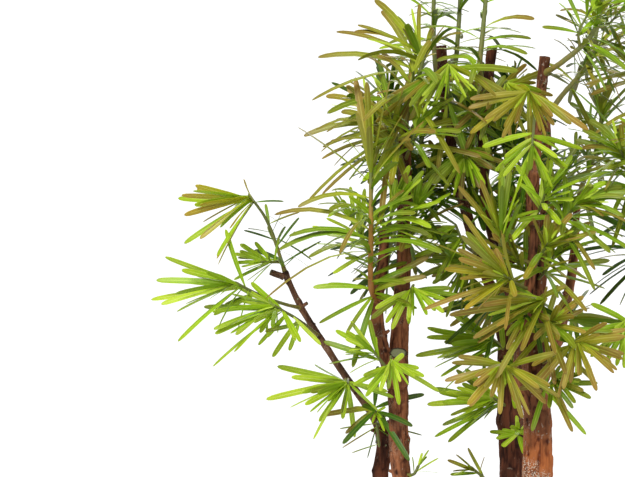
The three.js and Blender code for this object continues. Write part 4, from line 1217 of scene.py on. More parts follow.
@dataclass
class Foliage:
    """All shoots and leaves. The solids' leaves stand where the solids have them, with finer ones between them.

    A blade's outline is its half width at its stations. Its section has six corners: its sunken rib, a rise each side
    of it, two margins and the keel below, given across it and up from it by half widths. Leaves turn by the golden
    angle round a shoot, and they keep their reach from the wood at the watched shares of their length.
    """

    masses: tuple[Mass, ...]
    sprays: tuple[Mass, ...]
    wood: Woodwork
    beds: dict[Tone, list[Leaves]] = field(default_factory=lambda: {tone: [] for tone in Tone})
    skins: list[Surface] = field(default_factory=list)
    leaf_width: float = 5.7
    stations: tuple[float, ...] = (0.0, 0.07, 0.2, 0.42, 0.64, 0.82, 0.93, 0.98)
    outline: tuple[float, ...] = (0.3, 0.4, 0.74, 0.98, 1.0, 0.97, 0.82, 0.5)
    across: tuple[float, ...] = (0.0, 0.52, 1.0, 0.0, -1.0, -0.52)
    rise: tuple[float, ...] = (0.03, 0.17, 0.0, -0.2, 0.0, 0.17)
    watched: tuple[float, ...] = (0.28, 0.4, 0.55, 0.7, 0.85, 1.0)
    reach: float = 1.0
    turn: float = 137.5
    seat: float = 0.3
    arch: float = 0.13
    aim_pull: float = 0.85
    usual_length: float = 62.0
    young_slim: float = 0.62
    fullness: float = 0.88
    twist: float = 64.0
    sides: int = 9
    bud_size: tuple[float, float] = (0.8, 0.35)
    bud_ahead: tuple[float, float] = (1.6, 2.8)
    bud_end: float = 3.2
    sun: Triple = (-0.25, -0.75, 0.61)
    turn_to_sun: float = 0.8
    fan_flat: float = 0.7

    def shoot_half(self, length: float, share: Array) -> Array:
        """Half width of a shoot's solid at shares of its length."""
        return (2.1 + length / 160) * (1 - share) + 1.8 * share

    def curve_of(self, mass: Mass, shoot: Shoot, first: Curve | None) -> Curve:
        """A shoot's centre line, from inside its limb or from its mass's first shoot.

        Args:
            mass: the mass that the shoot is of.
            shoot: the shoot.
            first: the centre line of the mass's first shoot, once there is one.

        Returns:
            The centre line.
        """
        if first is not None:
            start = first.at(np.array([shoot.leaves_at]))[0]
        else:
            limb = next(limb for limb in self.wood.limbs if limb.name == mass.on).path()[0]
            share = 1.0 if mass.start is None else DRAWING.nearest(limb, mass.start)
            start = limb.at(np.array([share]))[0]
            if mass.start is None:
                start = start + limb.tangent(np.array([1.0]))[0] * self.seat
        return Curve(np.vstack([start, DRAWING.place(shoot.way)]))

    def angles(self, first: float, opens: tuple[float, float], late: Array, r: Array, play: Triple) -> Array:
        """Angles of leaves in radians, each with its play about its mean.

        Args:
            first: the first leaf's place round the shoot in degrees.
            opens: how far the oldest and the youngest leaf open from the shoot, in degrees.
            late: 0 for the oldest leaf to 1 for the youngest.
            r: random numbers, a row for each leaf.
            play: in degrees, of the three angles.

        Returns:
            Turns round the shoot, openings from it and twists of the blades.
        """
        turn = first + np.arange(len(r)) * self.turn + play[0] * (r[:, 0] - 0.5)
        opening = opens[0] + (opens[1] - opens[0]) * late + play[1] * (r[:, 1] - 0.5)
        return np.radians([turn, opening, play[2] * (r[:, 4] - 0.5)])

    def grown(self, curve: Curve, share: Array, angles: Array, length: Array, droop: Array, late: Array,
              aim: Triple | None) -> Leaves:
        """Leaves at shares of a shoot: each opens from the shoot's axis in its own direction round it, then bends down.

        Args:
            curve: the shoot.
            share, length, droop: for each leaf, in millimetres but for the share.
            angles: turns, openings and twists.
            late: 0 for the oldest leaf to 1 for the youngest.
            aim: where a fan of leaves faces, if it isn't along the shoot.

        Returns:
            The leaves.
        """
        at, axis = curve.at(share), curve.tangent(share)
        if aim is not None:
            axis = unit(axis + (unit(np.array(aim, float)) - axis) * self.aim_pull)
        turn, opening = angles[0][:, None], angles[1][:, None]
        level, rest = square_to(axis)
        radial = level * np.cos(turn) + rest * np.sin(turn)
        sun = np.array(self.sun)
        if aim is not None:
            radial = unit(radial - self.fan_flat * (radial @ sun)[:, None] * sun)
        way = axis * np.cos(opening) + radial * np.sin(opening)
        face = unit(axis * np.sin(opening) - radial * np.cos(opening) + sun * self.turn_to_sun)
        bend = np.array([0.0, 0.0, -1.0]) * droop[:, None] + radial * (self.arch * length * (1 - late))[:, None]
        width = self.leaf_width * np.clip(length / self.usual_length, 0.3, 1.1) ** 0.35
        return Leaves(at, way, face, bend, length, angles[2], width)

    def main_leaves(self, curve: Curve, leaves: LeafSet, seed: int) -> Leaves:
        """The leaves that the solids have, by the solids' own rule and seeds.

        Args:
            curve: the shoot's centre line.
            leaves: the set.
            seed: the solids' seed.

        Returns:
            The set's leaves.
        """
        i = np.arange(int(leaves.n * self.fullness + 0.5))
        late = i / (len(i) - 1)
        r = draws(seed * 4099 + i * 131 + 7, 5)
        angles = self.angles(seed % 360, leaves.open, late, r, (16, 14, self.twist))
        length = leaves.length * (1 - 0.22 * late) * (0.88 + 0.22 * r[:, 2])
        droop = leaves.droop * length * (0.8 + 0.5 * r[:, 3])
        share = leaves.span[0] + (leaves.span[1] - leaves.span[0]) * late
        made = self.grown(curve, share, angles, length, droop, late, leaves.aim)
        made.width = made.width * leaves.slim
        return made

    def fill_leaves(self, curve: Curve, leaves: LeafSet, seed: int) -> Leaves:
        """Finer leaves between the main ones, shorter and set at chance.

        Args:
            curve: the shoot's centre line.
            leaves: the set they stand among.
            seed: which pattern.

        Returns:
            The finer leaves.
        """
        r = draws(seed * 7919 + np.arange(max(1, round(leaves.n * leaves.fill))) * 193 + 11, 6)
        late = r[:, 5]
        angles = self.angles(seed % 360 + 70, leaves.open, late, r, (50, 22, self.twist))
        length = leaves.length * (0.6 + 0.4 * r[:, 2]) * (1 - 0.2 * late)
        droop = leaves.droop * length * (0.6 + 0.7 * r[:, 3])
        share = np.clip(leaves.span[0] + (leaves.span[1] - leaves.span[0]) * late, 0, 1)
        return self.grown(curve, share, angles, length, droop, late, leaves.aim)

    def young_leaves(self, curve: Curve, leaves: LeafSet, count: int, seed: int) -> Leaves:
        """The short new leaves round a shoot's bud.

        Args:
            curve: the shoot's centre line.
            leaves: the set at its tip.
            count: how many.
            seed: which pattern.

        Returns:
            The young leaves.
        """
        r = draws(seed * 6007 + np.arange(count) * 61 + 3, 5)
        late = np.arange(count) / max(1, count - 1)
        angles = self.angles(seed * 53 % 360, (34, 10), late, r, (30, 10, 40))
        length = leaves.length * (0.5 - 0.28 * late) * (0.85 + 0.3 * r[:, 2])
        new = self.grown(curve, 1 - 0.02 * (1 - late), angles, length, length * 0.05, late, leaves.aim)
        new.width = new.width * self.young_slim
        return new

    def clear(self, leaves: Leaves, samples: tuple[Array, Array]) -> Leaves:
        """The leaves that keep clear of the wood beyond their first quarter.

        Args:
            leaves: leaves in their places.
            samples: points in the wood and their radii.

        Returns:
            Those of them that keep clear.
        """
        points, radii = samples
        keep = np.ones(len(leaves.at), bool)
        for s in self.watched:
            gaps = np.linalg.norm(leaves.point(s)[:, None] - points[None], axis=-1) - radii[None]
            keep &= gaps.min(1) > self.reach
        return leaves.rows(keep)

    def shoot_skin(self, curve: Curve, wood: float, seed: int, thin: float = THIN) -> Surface:
        """A shoot as a tube with swellings at its leaf bases and a round bud; its mark "age" fades towards the tip.

        Args:
            curve: the shoot's centre line.
            wood: how woody it is at its foot, from 0 to 1.
            seed: which pattern.
            thin: its width by that of the solid.

        Returns:
            The shoot's surface.
        """
        rows = max(6, round(curve.length / 2.2))
        share = np.linspace(0, 1, rows + 1)
        angle = np.broadcast_to(full_turn(self.sides), (rows + 1, self.sides))
        half = self.shoot_half(curve.length, share) * thin
        half = half * (1 + 0.5 * np.exp(-share * curve.length / 4)) * np.where(share > 0.97, 1.15, 1)
        along = np.broadcast_to((share * curve.length)[:, None], angle.shape)
        cells = np.stack([np.cos(angle) * 1.6, np.sin(angle) * 1.6, along / 4.5], -1)
        bumps = 1 + 0.22 * (noise(cells, seed) - 0.5)
        at, way, spread = curve.spokes(share, angle)
        rings = at[:, None] + spread * (half[:, None] * bumps)[..., None]
        size, ahead = (np.array(part)[:, None, None] for part in (self.bud_size, self.bud_ahead))
        bud = at[-1] + spread[-1] * (half[-1] * size) + way[-1] * ahead
        age = np.clip(wood * 1.9 * (1 - share) ** 0.8, 0, 1)[:, None] + np.zeros(angle.shape)
        marks = {"age": np.concatenate([age, np.zeros((len(bud), self.sides))])}
        return tube(np.concatenate([rings, bud]), at[0], at[-1] + way[-1] * self.bud_end, marks)

    def sprig(self, curve: Curve, leaves: LeafSet, number: int, count: int, seed: int) -> tuple[Curve, Leaves]:
        """A fine side twig of a shoot with its own leaves: it leaves at a wide angle and turns up with the shoot.

        Args:
            curve: the shoot's centre line.
            leaves: the set whose manner its leaves take.
            number: which of the shoot's twigs.
            count: how many twigs it has.
            seed: which pattern.

        Returns:
            The twig's centre line and its leaves.
        """
        r = draws([seed * 331 + number * 17], 6)[0]
        share = np.array([0.22 + 0.6 * (number + 0.3 + 0.4 * r[0]) / count])
        at, axis = curve.at(share)[0], curve.tangent(share)[0]
        level, rest = square_to(axis)
        turn = math.radians(seed % 360 + number * 151 + 60 * r[1])
        out = level * math.cos(turn) + rest * math.sin(turn)
        size = 16 + 18 * r[2]
        line = Curve(np.array([at, at + (out * 0.8 + axis * 0.45) * size * 0.5, at + (out * 0.75 + axis * 0.9) * size]))
        own = LeafSet(10, leaves.length * 0.66, (76, 14), (0.3, 1), leaves.droop + 0.06, None, 0.0)
        return line, self.main_leaves(line, own, seed * 13 + number)

    def leaf_skin(self, leaves: Leaves, finish: LeafFinish) -> Surface:
        """All leaves as one surface of strap blades that widen from a narrow foot, run parallel and end round.

        Args:
            leaves: the leaves.
            finish: their finish, for the columns of its map.

        Returns:
            The surface; it has no marks.
        """
        count, k, six = len(leaves.at), len(self.stations), len(self.across)
        s = np.array(self.stations)[None, :, None]
        length, bend = leaves.length[:, None, None], leaves.bend[:, None]
        middle = leaves.at[:, None] + leaves.way[:, None] * s * length + bend * s * s
        along = unit(leaves.way[:, None] * length + 2 * bend * s)
        face = leaves.face[:, None] - along * np.sum(along * leaves.face[:, None], -1, keepdims=True)
        face = turned(unit(face), along, leaves.twist[:, None] * (0.55 + 0.45 * s[..., 0]))
        side = np.cross(along, face)
        wide, high = np.array(self.across), np.array(self.rise)
        half = (leaves.width[:, None] / 2 * np.array(self.outline)[None])[..., None, None]
        rings = middle[:, :, None] + side[:, :, None] * half * wide[:, None] + face[:, :, None] * half * high[:, None]
        points = np.concatenate([rings.reshape(count, -1, 3), leaves.point(1.0)[:, None]], 1)
        j = np.arange(six)
        n = (j + 1) % six
        row = (np.arange(k - 1) * six)[:, None]
        quads = np.stack([row + j, row + n, row + six + n, row + six + j], -1).reshape(-1, 4)
        tips = np.stack([(k - 1) * six + j, (k - 1) * six + n, np.full(six, k * six)], -1)
        start = (np.arange(count) * points.shape[1])[:, None, None]
        foot = j[::-1] + start[:, 0]
        faces = [(quads + start).reshape(-1, 4), (tips + start).reshape(-1, 3), foot]

        first, second = wide, np.roll(wide, -1)
        # faces below the margins lie on the map's second half, where the finish paints the underside's shade
        below = np.array([0, 0, 1, 1, 0, 0]) * finish.columns // 2
        column = (np.arange(count) * 7 % (finish.columns // 2))[:, None]

        def on_map(value: Array) -> Array:
            """Place across the map of a place across the blade, for each leaf and each side of its section."""
            return (column + below + 0.5 + BLADE_ON_MAP * value) / finish.columns

        v = FOOT_ON_MAP + RUN_ON_MAP * np.array(self.stations)
        low, top = v[:-1][:, None] + np.zeros(six), v[1:][:, None] + np.zeros(six)
        near, far = on_map(first), on_map(second)
        u = np.stack([near, far, far, near], -1)[:, None] + np.zeros((1, k - 1, 1, 1))
        quad_map = np.stack([u, np.broadcast_to(np.stack([low, low, top, top], -1), u.shape)], -1).reshape(-1, 4, 2)
        tip_u = np.stack([near, far, on_map((first + second) / 2)], -1)
        tip_map = np.stack([tip_u, np.broadcast_to([v[-1], v[-1], TIP_ON_MAP], tip_u.shape)], -1).reshape(-1, 3, 2)
        spin = full_turn(six)[::-1]
        foot_u, foot_v = (column + 0.5 + 0.3 * np.cos(spin)) / finish.columns, 0.015 + 0.01 * np.sin(spin)
        return Surface(points.reshape(-1, 3), faces, [quad_map, tip_map, np.stack([foot_u, foot_v + 0 * column], -1)])

    def crease(self, piece: bpy.types.Object) -> None:
        """Marks the two margins of every blade sharp, so that its faces shade apart.

        Args:
            piece: a piece made of whole blades.
        """
        mesh, six = piece.data, len(self.across)
        ends = np.empty(len(mesh.edges) * 2, np.int32)
        mesh.edges.foreach_get("vertices", ends)
        tip = len(self.stations) * six
        a, b = ends.reshape(-1, 2).T % (tip + 1)
        sharp = (a % six == b % six) & np.isin(a % six, (2, 4)) & (a < tip) & (b < tip)
        mesh.attributes.new("sharp_edge", "BOOLEAN", "EDGE").data.foreach_set("value", sharp)

    def deal(self, tone: Tone, leaves: Leaves, seed: int) -> None:
        """Gives most of a spray its tone and the rest a neighbouring one, leaf by leaf.

        Args:
            tone: the spray's tone.
            leaves: its leaves.
            seed: which pattern.
        """
        chance = draws(seed * 977 + np.arange(len(leaves.at)) * 29, 1)[:, 0]
        for own, low, high in zip((tone, *BESIDE[tone]), (0.0, 0.66, 0.86), (0.66, 0.86, 1.01)):
            self.beds[own].append(leaves.rows((chance >= low) & (chance < high)))

    def grow(self, number: int, mass: Mass, samples: tuple[Array, Array]) -> None:
        """Grows one mass.

        Args:
            number: its place among the masses and sprays, from 1, for its seeds.
            mass: the mass.
            samples: the wood that its leaves keep clear of.
        """
        first: Curve | None = None
        for w, shoot in enumerate(mass.shoots):
            curve = self.curve_of(mass, shoot, first)
            first = first or curve
            full = mass.name.startswith(("shoot", "crown"))
            self.skins.append(self.shoot_skin(curve, mass.wood, number * 5 + w, FULL if full else THIN))
            last = shoot.sets[int(np.argmax([s.span[1] for s in shoot.sets]))]
            tone = shoot.tone or mass.tone
            sets = [(leaves, number * 37 + w * 11 + s * 5) for s, leaves in enumerate(shoot.sets)]
            sets += [(leaves, number * 41 + w * 13 + s * 7 + 5) for s, leaves in enumerate(shoot.finer)]
            for leaves, seed in sets:
                own = leaves.tone or tone
                self.deal(own, self.clear(self.main_leaves(curve, leaves, seed), samples), seed)
                if leaves.fill > 0:
                    self.deal(own, self.clear(self.fill_leaves(curve, leaves, seed + 3), samples), seed + 1)
            new = self.clear(self.young_leaves(curve, last, mass.young, number * 7 + w), samples)
            # young leaves in a mass of painted shade take lime, the others the fresher tone
            self.beds[Tone.LIME if tone is Tone.DEEP else Tone.FRESH].append(new)
            for side in range(mass.sprigs if w == 0 else mass.sprigs // 2):
                line, some = self.sprig(curve, last, side, mass.sprigs, number * 19 + w)
                self.skins.append(self.shoot_skin(line, 0.1, number + side, FINE))
                self.deal(tone, self.clear(some, samples), number * 23 + side)

    def build(self) -> None:
        """Grows every mass and puts the shoots and each tone's leaves in place of the solids."""
        samples = self.wood.samples()
        for number, mass in enumerate(self.masses + self.sprays, 1):
            self.grow(number, mass, samples)
        shoots = Surface.joined(self.skins).piece("shoots", ShootFinish().material())
        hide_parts(*(m.name for m in self.masses))
        for tone, lots in self.beds.items():
            kind = tone.name.lower()
            skin = self.leaf_skin(Leaves.joined(lots), tone.value)
            piece = skin.piece("leaves_" + kind, tone.value.material("leaf_" + kind))
            self.crease(piece)
            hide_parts(*(m.name for m in self.masses if m.tone is tone))
            "foliage_" + ("lime" if tone is Tone.FRESH else kind)


def shoot(way: Sequence[Triple], *sets: LeafSet, leaves_at: float | None = None, tone: Tone | None = None,
          finer: tuple[LeafSet, ...] = ()) -> Shoot:
    """A shoot written in one line."""
    return Shoot(tuple(way), sets, leaves_at, tone, finer)


def spray(on: str, tone: Tone, start: tuple[float, float], way: Sequence[Triple], aim: Triple | None, n: int = 15,
          length: float = 54, opens: tuple[float, float] = (88, 20), droop: float = 0.2, low: float = 0.4,
          fill: float = 0.8, slim: float = 1.0, young: int = 5) -> Mass:
    """A finer spray that no solid stands for: one shoot, with leaves from a low share of its length to its tip."""
    leaves = LeafSet(n, length, opens, (low, 1), droop, aim, fill, slim=slim)
    return Mass("spray", on, tone, (shoot(way, leaves),), start, young=young)


MASSES = (
    Mass("leaves_bough_left_tip", "bough_left", Tone.GOLD, (
        shoot([(277, 247, 8), (266, 219, 4), (250, 196, -8)],
              LeafSet(14, 70, (47, 8), (0.9, 1), 0.06, (-0.88, -0.2, -0.42), 0.5),
              LeafSet(8, 38, (64, 50), (0.05, 0.55), 0.06, None, 0.6, Tone.DEEP, 0.7),
              finer=(LeafSet(7, 38, (30, 20), (0.1, 0.9), 0.12, (0.9, -0.2, -0.1), 0, Tone.DEEP, 0.4),)),
        shoot([(274, 262, -2), (263, 262, -8)], LeafSet(6, 34, (50, 14), (0.5, 1), 0.04, (-0.95, -0.2, 0.2)),
              leaves_at=0.12, tone=Tone.LIME)), young=4),
    Mass("leaves_bough_left_upper", "bough_left", Tone.LIME, (
        shoot([(284, 304, -6), (262, 296, -18), (236, 283, -30)],
              LeafSet(13, 74, (50, 8), (0.86, 1), 0.07, (-0.94, -0.22, -0.16), 0.4),
              LeafSet(6, 46, (50, 30), (0.3, 0.82), 0.1, (-0.5, -0.34, -0.8), 0.5)),), (302, 308)),
    Mass("leaves_bough_left_middle", "bough_left", Tone.LIME, (
        shoot([(300, 321, -14), (275, 306, -34)], LeafSet(10, 68, (36, 8), (0.82, 1), 0.08, (-0.92, -0.3, -0.22), 0.5),
              LeafSet(7, 42, (54, 24), (0.45, 0.98), 0.06, (0.0, -0.5, -0.86), 0.6)),), (320, 336)),
    Mass("leaves_bough_left_low", "bough_left", Tone.LIME, (
        shoot([(348, 383, -24)], LeafSet(10, 62, (36, 8), (0.7, 1), 0.06, (-0.92, -0.34, -0.14), 0.4),
              LeafSet(8, 46, (62, 20), (0.55, 0.98), 0.06, (0.16, -0.55, -0.8), 0.4)),), (347, 379)),
    Mass("leaves_fork_front", "stem_left", Tone.LIME, (
        shoot([(397, 386, -50), (391, 358, -72)], LeafSet(13, 36, (78, 16), (0.86, 1), 0.12, (0.1, -0.55, -0.83), 0.3)),
        shoot([(371, 348, -62)], LeafSet(9, 42, (50, 10), (0.6, 1), 0.03, (-0.9, -0.3, 0.32), 0.6), leaves_at=0.62)),
         (399, 402)),
    Mass("leaves_stem_left_right", "stem_left", Tone.LIME, (
        shoot([(405, 300, -44), (413, 286, -62)],
              LeafSet(13, 38, (76, 14), (0.82, 1), 0.14, (0.16, -0.5, -0.86), 0.4)),), (402, 304)),
    Mass("shoot_left_tall", "limb_left_front", Tone.GREEN, (
        shoot([(371, 286, -56), (371, 230, -58), (371, 168, -57)],
              LeafSet(8, 56, (80, 66), (0.1, 0.42), 0.16, None, 2.2),
              LeafSet(9, 88, (68, 50), (0.44, 0.74), 0.44, None, 2.2),
              LeafSet(9, 98, (48, 10), (0.86, 1), 0.05, (0.02, -0.2, 0.98), 0.3, Tone.OLIVE, 1.1),
              finer=(LeafSet(7, 90, (52, 40), (0.45, 0.8), 0.4, (-0.6, -0.1, 0.8), 0, Tone.OLIVE, 0.85),)),),
         (377, 302), wood=0.5),
    Mass("leaves_left_bright", "limb_left_front", Tone.LIME, (
        shoot([(368, 250, -4), (353, 218, 6)],
              LeafSet(12, 44, (64, 12), (0.45, 1), 0.04, (-0.35, -0.3, 0.85), 1.2, Tone.FRESH)),), (382, 268)),
    Mass("crown_left_outer", "stem_left", Tone.OLIVE, (
        shoot([(394, 152, -10), (371, 112, -4)], LeafSet(15, 66, (78, 14), (0.5, 1), 0.36, (-0.8, -0.2, 0.56), 1.0)),),
         (405, 182), sprigs=2),
    Mass("crown_left_top", "stem_left", Tone.OLIVE, (
        shoot([(408, 112, -24), (419, 76, -30), (424, 56, -32)],
              LeafSet(9, 98, (50, 10), (0.7, 1), 0.32, (-0.76, -0.12, 0.62), 0.6),
              LeafSet(8, 84, (66, 50), (0.2, 0.66), 0.46, None, 1.2)),), sprigs=2),
    Mass("crown_left_back", "stem_left", Tone.DEEP, (
        shoot([(401, 190, 20), (392, 140, 44), (388, 92, 52)], LeafSet(14, 64, (78, 50), (0.25, 0.8), 0.42),
              LeafSet(8, 62, (48, 12), (0.8, 1), 0.14)),
        shoot([(414, 178, 30), (424, 128, 22)], LeafSet(11, 50, (88, 20), (0.5, 1), 0.2, (0.3, 0.3, 0.8)),
              leaves_at=0.3),
        shoot([(392, 240, 46), (384, 282, 60)], LeafSet(12, 56, (90, 30), (0.55, 1), 0.22, (-0.2, 0.8, 0.3)),
              leaves_at=0.12)), (404, 225), sprigs=5),
    Mass("shoots_centre_top", "limb_rear_left", Tone.GREEN, (
        shoot([(438, 84, 22), (434, 45, 26), (434, -30, 24)], LeafSet(10, 64, (70, 44), (0.3, 0.88), 0.4),
              LeafSet(6, 54, (42, 12), (0.9, 1), 0.05)),
        shoot([(454, 70, 36), (459, 20, 38), (461, -28, 38)], LeafSet(8, 62, (70, 42), (0.4, 0.88), 0.4),
              LeafSet(6, 50, (40, 12), (0.9, 1), 0.05), leaves_at=0.12)), (446, 112)),
    Mass("shoot_centre_right_top", "limb_rear_right", Tone.GREEN, (
        shoot([(480, 72, -30), (483, 30, -32), (489, -34, -30)], LeafSet(9, 66, (72, 46), (0.2, 0.8), 0.46),
              LeafSet(8, 60, (44, 12), (0.82, 1), 0.05)),), (486, 92)),
    Mass("umbrella_centre_top", "limb_rear_left", Tone.BRONZE, (
        shoot([(447, 112, -30), (449, 63, -62)], LeafSet(10, 66, (84, 50), (0.9, 1), 0.24, (0.02, -0.36, -0.93), 0.4),
              LeafSet(3, 70, (138, 128), (0.5, 0.7), 0.1, None, 0.4), tone=Tone.OLIVE,
              finer=(LeafSet(13, 36, (36, 8), (0.97, 1), 0.1, (0.05, -0.3, -0.95), 0, Tone.FRESH, 0.5),)),
        shoot([(458, 142, -26), (466, 157, -44)], LeafSet(11, 42, (82, 14), (0.66, 1), 0.14, (-0.08, -0.5, -0.86)),
              leaves_at=0.28, tone=Tone.GREEN)), (449, 132), young=9),
    Mass("leaves_rear_left_low", "limb_rear_left", Tone.GREEN, (
        shoot([(474, 256, -8), (464, 264, -26)], LeafSet(10, 42, (52, 12), (0.5, 1), 0.14, (-0.82, -0.35, -0.45))),
        shoot([(464, 244, -22), (456, 226, -28)], LeafSet(9, 40, (54, 12), (0.55, 1), 0.16, (-0.84, -0.35, -0.4)),
              leaves_at=0.3)), (478, 250)),
    Mass("crown_rear_top", "stem_rear", Tone.DEEP, (
        shoot([(512, 118, 30), (514, 98, 38), (513, 84, 42)], LeafSet(14, 50, (80, 54), (0.2, 0.85), 0.4),
              LeafSet(7, 30, (48, 14), (0.86, 1), 0.05)),
        shoot([(498, 122, 54), (488, 110, 80), (486, 90, 92)], LeafSet(12, 54, (82, 54), (0.3, 0.8), 0.4),
              LeafSet(7, 40, (48, 14), (0.83, 1), 0.08), leaves_at=0.1)), sprigs=2),
    Mass("plume_centre", "stem_rear", Tone.GREEN, (
        shoot([(500, 252, -4), (500, 232, -14)], LeafSet(10, 72, (34, 8), (0.3, 1), 0.03, (-0.08, -0.12, 1), 0.5)),),
         (506, 270)),
    Mass("umbrella_centre", "limb_front_left", Tone.BRONZE, (
        shoot([(517, 284, -82), (505, 276, -94)], LeafSet(13, 58, (62, 10), (0.7, 1), 0.1, (-0.88, -0.36, 0.08), 0.6),
              LeafSet(4, 78, (16, 6), (0.6, 0.9), 0.04, (-0.72, -0.25, 0.62), 0.4, Tone.OLIVE)),), (529, 290), young=7),
    Mass("umbrella_front_middle", "stem_front", Tone.OLIVE, (
        shoot([(542, 306, -66), (546, 299, -86)],
              LeafSet(13, 74, (56, 10), (0.66, 1), 0.1, (-0.9, -0.34, -0.14), 0.6)),), (536, 312), young=6),
    Mass("leaves_rear_low_left", "stem_rear", Tone.LIME, (
        shoot([(499, 344, 4), (493, 339, -6)], LeafSet(12, 72, (32, 8), (0.3, 1), 0.06, (-0.96, -0.22, -0.12), 1.2)),),
         (505, 352)),
    Mass("umbrella_front_low", "limb_front_left", Tone.BRONZE, (
        shoot([(511, 371, -82), (503, 362, -94)],
              LeafSet(16, 46, (86, 14), (0.8, 1), 0.12, (-0.28, -0.5, -0.82), 0.7)),), (521, 380), young=8),
    Mass("leaves_rear_low_right", "stem_rear", Tone.LIME, (
        shoot([(500, 402, 4), (495, 399, -4)], LeafSet(11, 60, (34, 8), (0.35, 1), 0.06, (-0.95, -0.25, -0.08), 1.2)),),
         (507, 408)),
    Mass("sprout_low", "stem_rear", Tone.OLIVE, (
        shoot([(495, 486, 8), (472, 468, 2)], LeafSet(7, 30, (60, 20), (0.7, 1), 0.04, (-0.8, -0.3, 0.35), 0.3)),),
         (512, 492), young=2),
    Mass("umbrella_front_top", "stem_front", Tone.BRONZE, (
        shoot([(535, 100, -62), (528, 90, -80)], LeafSet(13, 54, (82, 12), (0.86, 1), 0.14, (-0.14, -0.38, -0.9), 0.6)),
        shoot([(534, 122, -76), (532, 150, -84)], LeafSet(10, 44, (88, 20), (0.7, 1), 0.16, (0.0, -0.5, -0.86), 1.0),
              leaves_at=0.5, tone=Tone.LIME)), (539, 112), young=7),
    Mass("crown_front_top", "stem_front", Tone.GREEN, (
        shoot([(562, 62, -56), (592, 34, -62), (606, -14, -62)], LeafSet(11, 60, (74, 48), (0.4, 0.8), 0.42),
              LeafSet(7, 58, (44, 12), (0.82, 1), 0.05)),), (543, 74), sprigs=2),
    Mass("leaves_front_right", "stem_front", Tone.GREEN, (
        shoot([(556, 226, -58), (578, 204, -76)], LeafSet(14, 60, (72, 16), (0.5, 1), 0.36, (0.6, -0.4, 0.55))),),
         (536, 235)),
    Mass("umbrella_front_right", "stem_front", Tone.BRONZE, (
        shoot([(560, 352, -70), (578, 340, -88)], LeafSet(13, 50, (86, 14), (0.8, 1), 0.14, (0.3, -0.5, -0.8), 1.0)),),
         (538, 366), young=7),
    Mass("crown_right_top", "stem_right", Tone.OLIVE, (
        shoot([(652, 96, -12), (646, 50, -8), (642, -10, -6)], LeafSet(14, 72, (74, 50), (0.12, 0.8), 0.44),
              LeafSet(8, 66, (44, 12), (0.82, 1), 0.05)),), sprigs=5),
    Mass("shoot_right_tall", "limb_right_front", Tone.GREEN, (
        shoot([(664, 180, -40), (672, 130, -50), (680, 78, -52)], LeafSet(15, 72, (76, 52), (0.08, 0.7), 0.42),
              LeafSet(8, 78, (46, 10), (0.7, 1), 0.12)),), sprigs=2),
    Mass("crown_right_back", "stem_right", Tone.DEEP, (
        shoot([(662, 205, 34), (676, 155, 62), (682, 100, 70)], LeafSet(14, 66, (78, 50), (0.25, 0.8), 0.42),
              LeafSet(8, 60, (48, 12), (0.82, 1), 0.08)),), (648, 245), sprigs=5),
    Mass("leaves_right_inner", "stem_right", Tone.GREEN, (
        shoot([(634, 176, -34), (620, 150, -52)], LeafSet(14, 58, (72, 18), (0.5, 1), 0.36, (-0.5, -0.35, 0.65))),),
         (648, 200), sprigs=2),
    Mass("umbrella_right_fork", "stem_right", Tone.LIME, (
        shoot([(636, 330, -46), (628, 318, -62)], LeafSet(12, 42, (86, 16), (0.8, 1), 0.14, (-0.2, -0.5, -0.84))),),
         (646, 345)),
    Mass("leaves_bough_right_tip", "bough_right", Tone.GOLD, (
        shoot([(768, 238, 14), (782, 212, 6), (796, 196, -4)],
              LeafSet(13, 62, (46, 8), (0.86, 1), 0.05, (0.97, -0.14, -0.06), 0.8),
              LeafSet(7, 38, (76, 60), (0.12, 0.7), 0.12)),)),
    Mass("leaves_bough_right_middle", "bough_right", Tone.LIME, (
        shoot([(760, 306, 0), (784, 300, -14)], LeafSet(14, 62, (52, 10), (0.5, 1), 0.1, (0.92, -0.26, -0.1), 0.8)),),
         (738, 312)),
    Mass("leaves_bough_right_low", "bough_right", Tone.LIME, (
        shoot([(700, 386, -4), (706, 390, -16)], LeafSet(15, 60, (72, 12), (0.5, 1), 0.16, (0.62, -0.45, -0.6), 0.8)),),
         (690, 377)),
    Mass("crown_back_top", "stem_back", Tone.OLIVE, (
        shoot([(560, 98, 100), (588, 62, 112), (602, 6, 116)], LeafSet(15, 62, (76, 50), (0.3, 0.8), 0.42),
              LeafSet(8, 60, (44, 12), (0.83, 1), 0.05)),), sprigs=4),
    Mass("crown_back_right", "limb_back_right", Tone.GREEN, (
        shoot([(582, 186, 134), (596, 150, 146), (604, 108, 150)], LeafSet(14, 64, (78, 50), (0.15, 0.8), 0.4),
              LeafSet(7, 56, (48, 14), (0.83, 1), 0.08)),), sprigs=5),
    Mass("crown_back_left", "limb_back_left", Tone.GREEN, (
        shoot([(488, 190, 132), (478, 150, 144), (474, 110, 148)], LeafSet(14, 62, (78, 50), (0.15, 0.8), 0.4),
              LeafSet(7, 54, (48, 14), (0.83, 1), 0.08)),), sprigs=5),
    Mass("umbrella_back_low", "limb_back_left", Tone.BRONZE, (
        shoot([(506, 296, 128), (498, 288, 142)], LeafSet(13, 54, (86, 16), (0.6, 1), 0.16, (-0.15, 0.6, -0.75))),),
         (512, 300), young=7),
    Mass("leaves_back_low", "limb_back_right", Tone.GREEN, (
        shoot([(566, 322, 134), (574, 310, 148)], LeafSet(13, 54, (84, 20), (0.6, 1), 0.16, (0.4, 0.7, -0.4))),),
         (558, 332)),
)

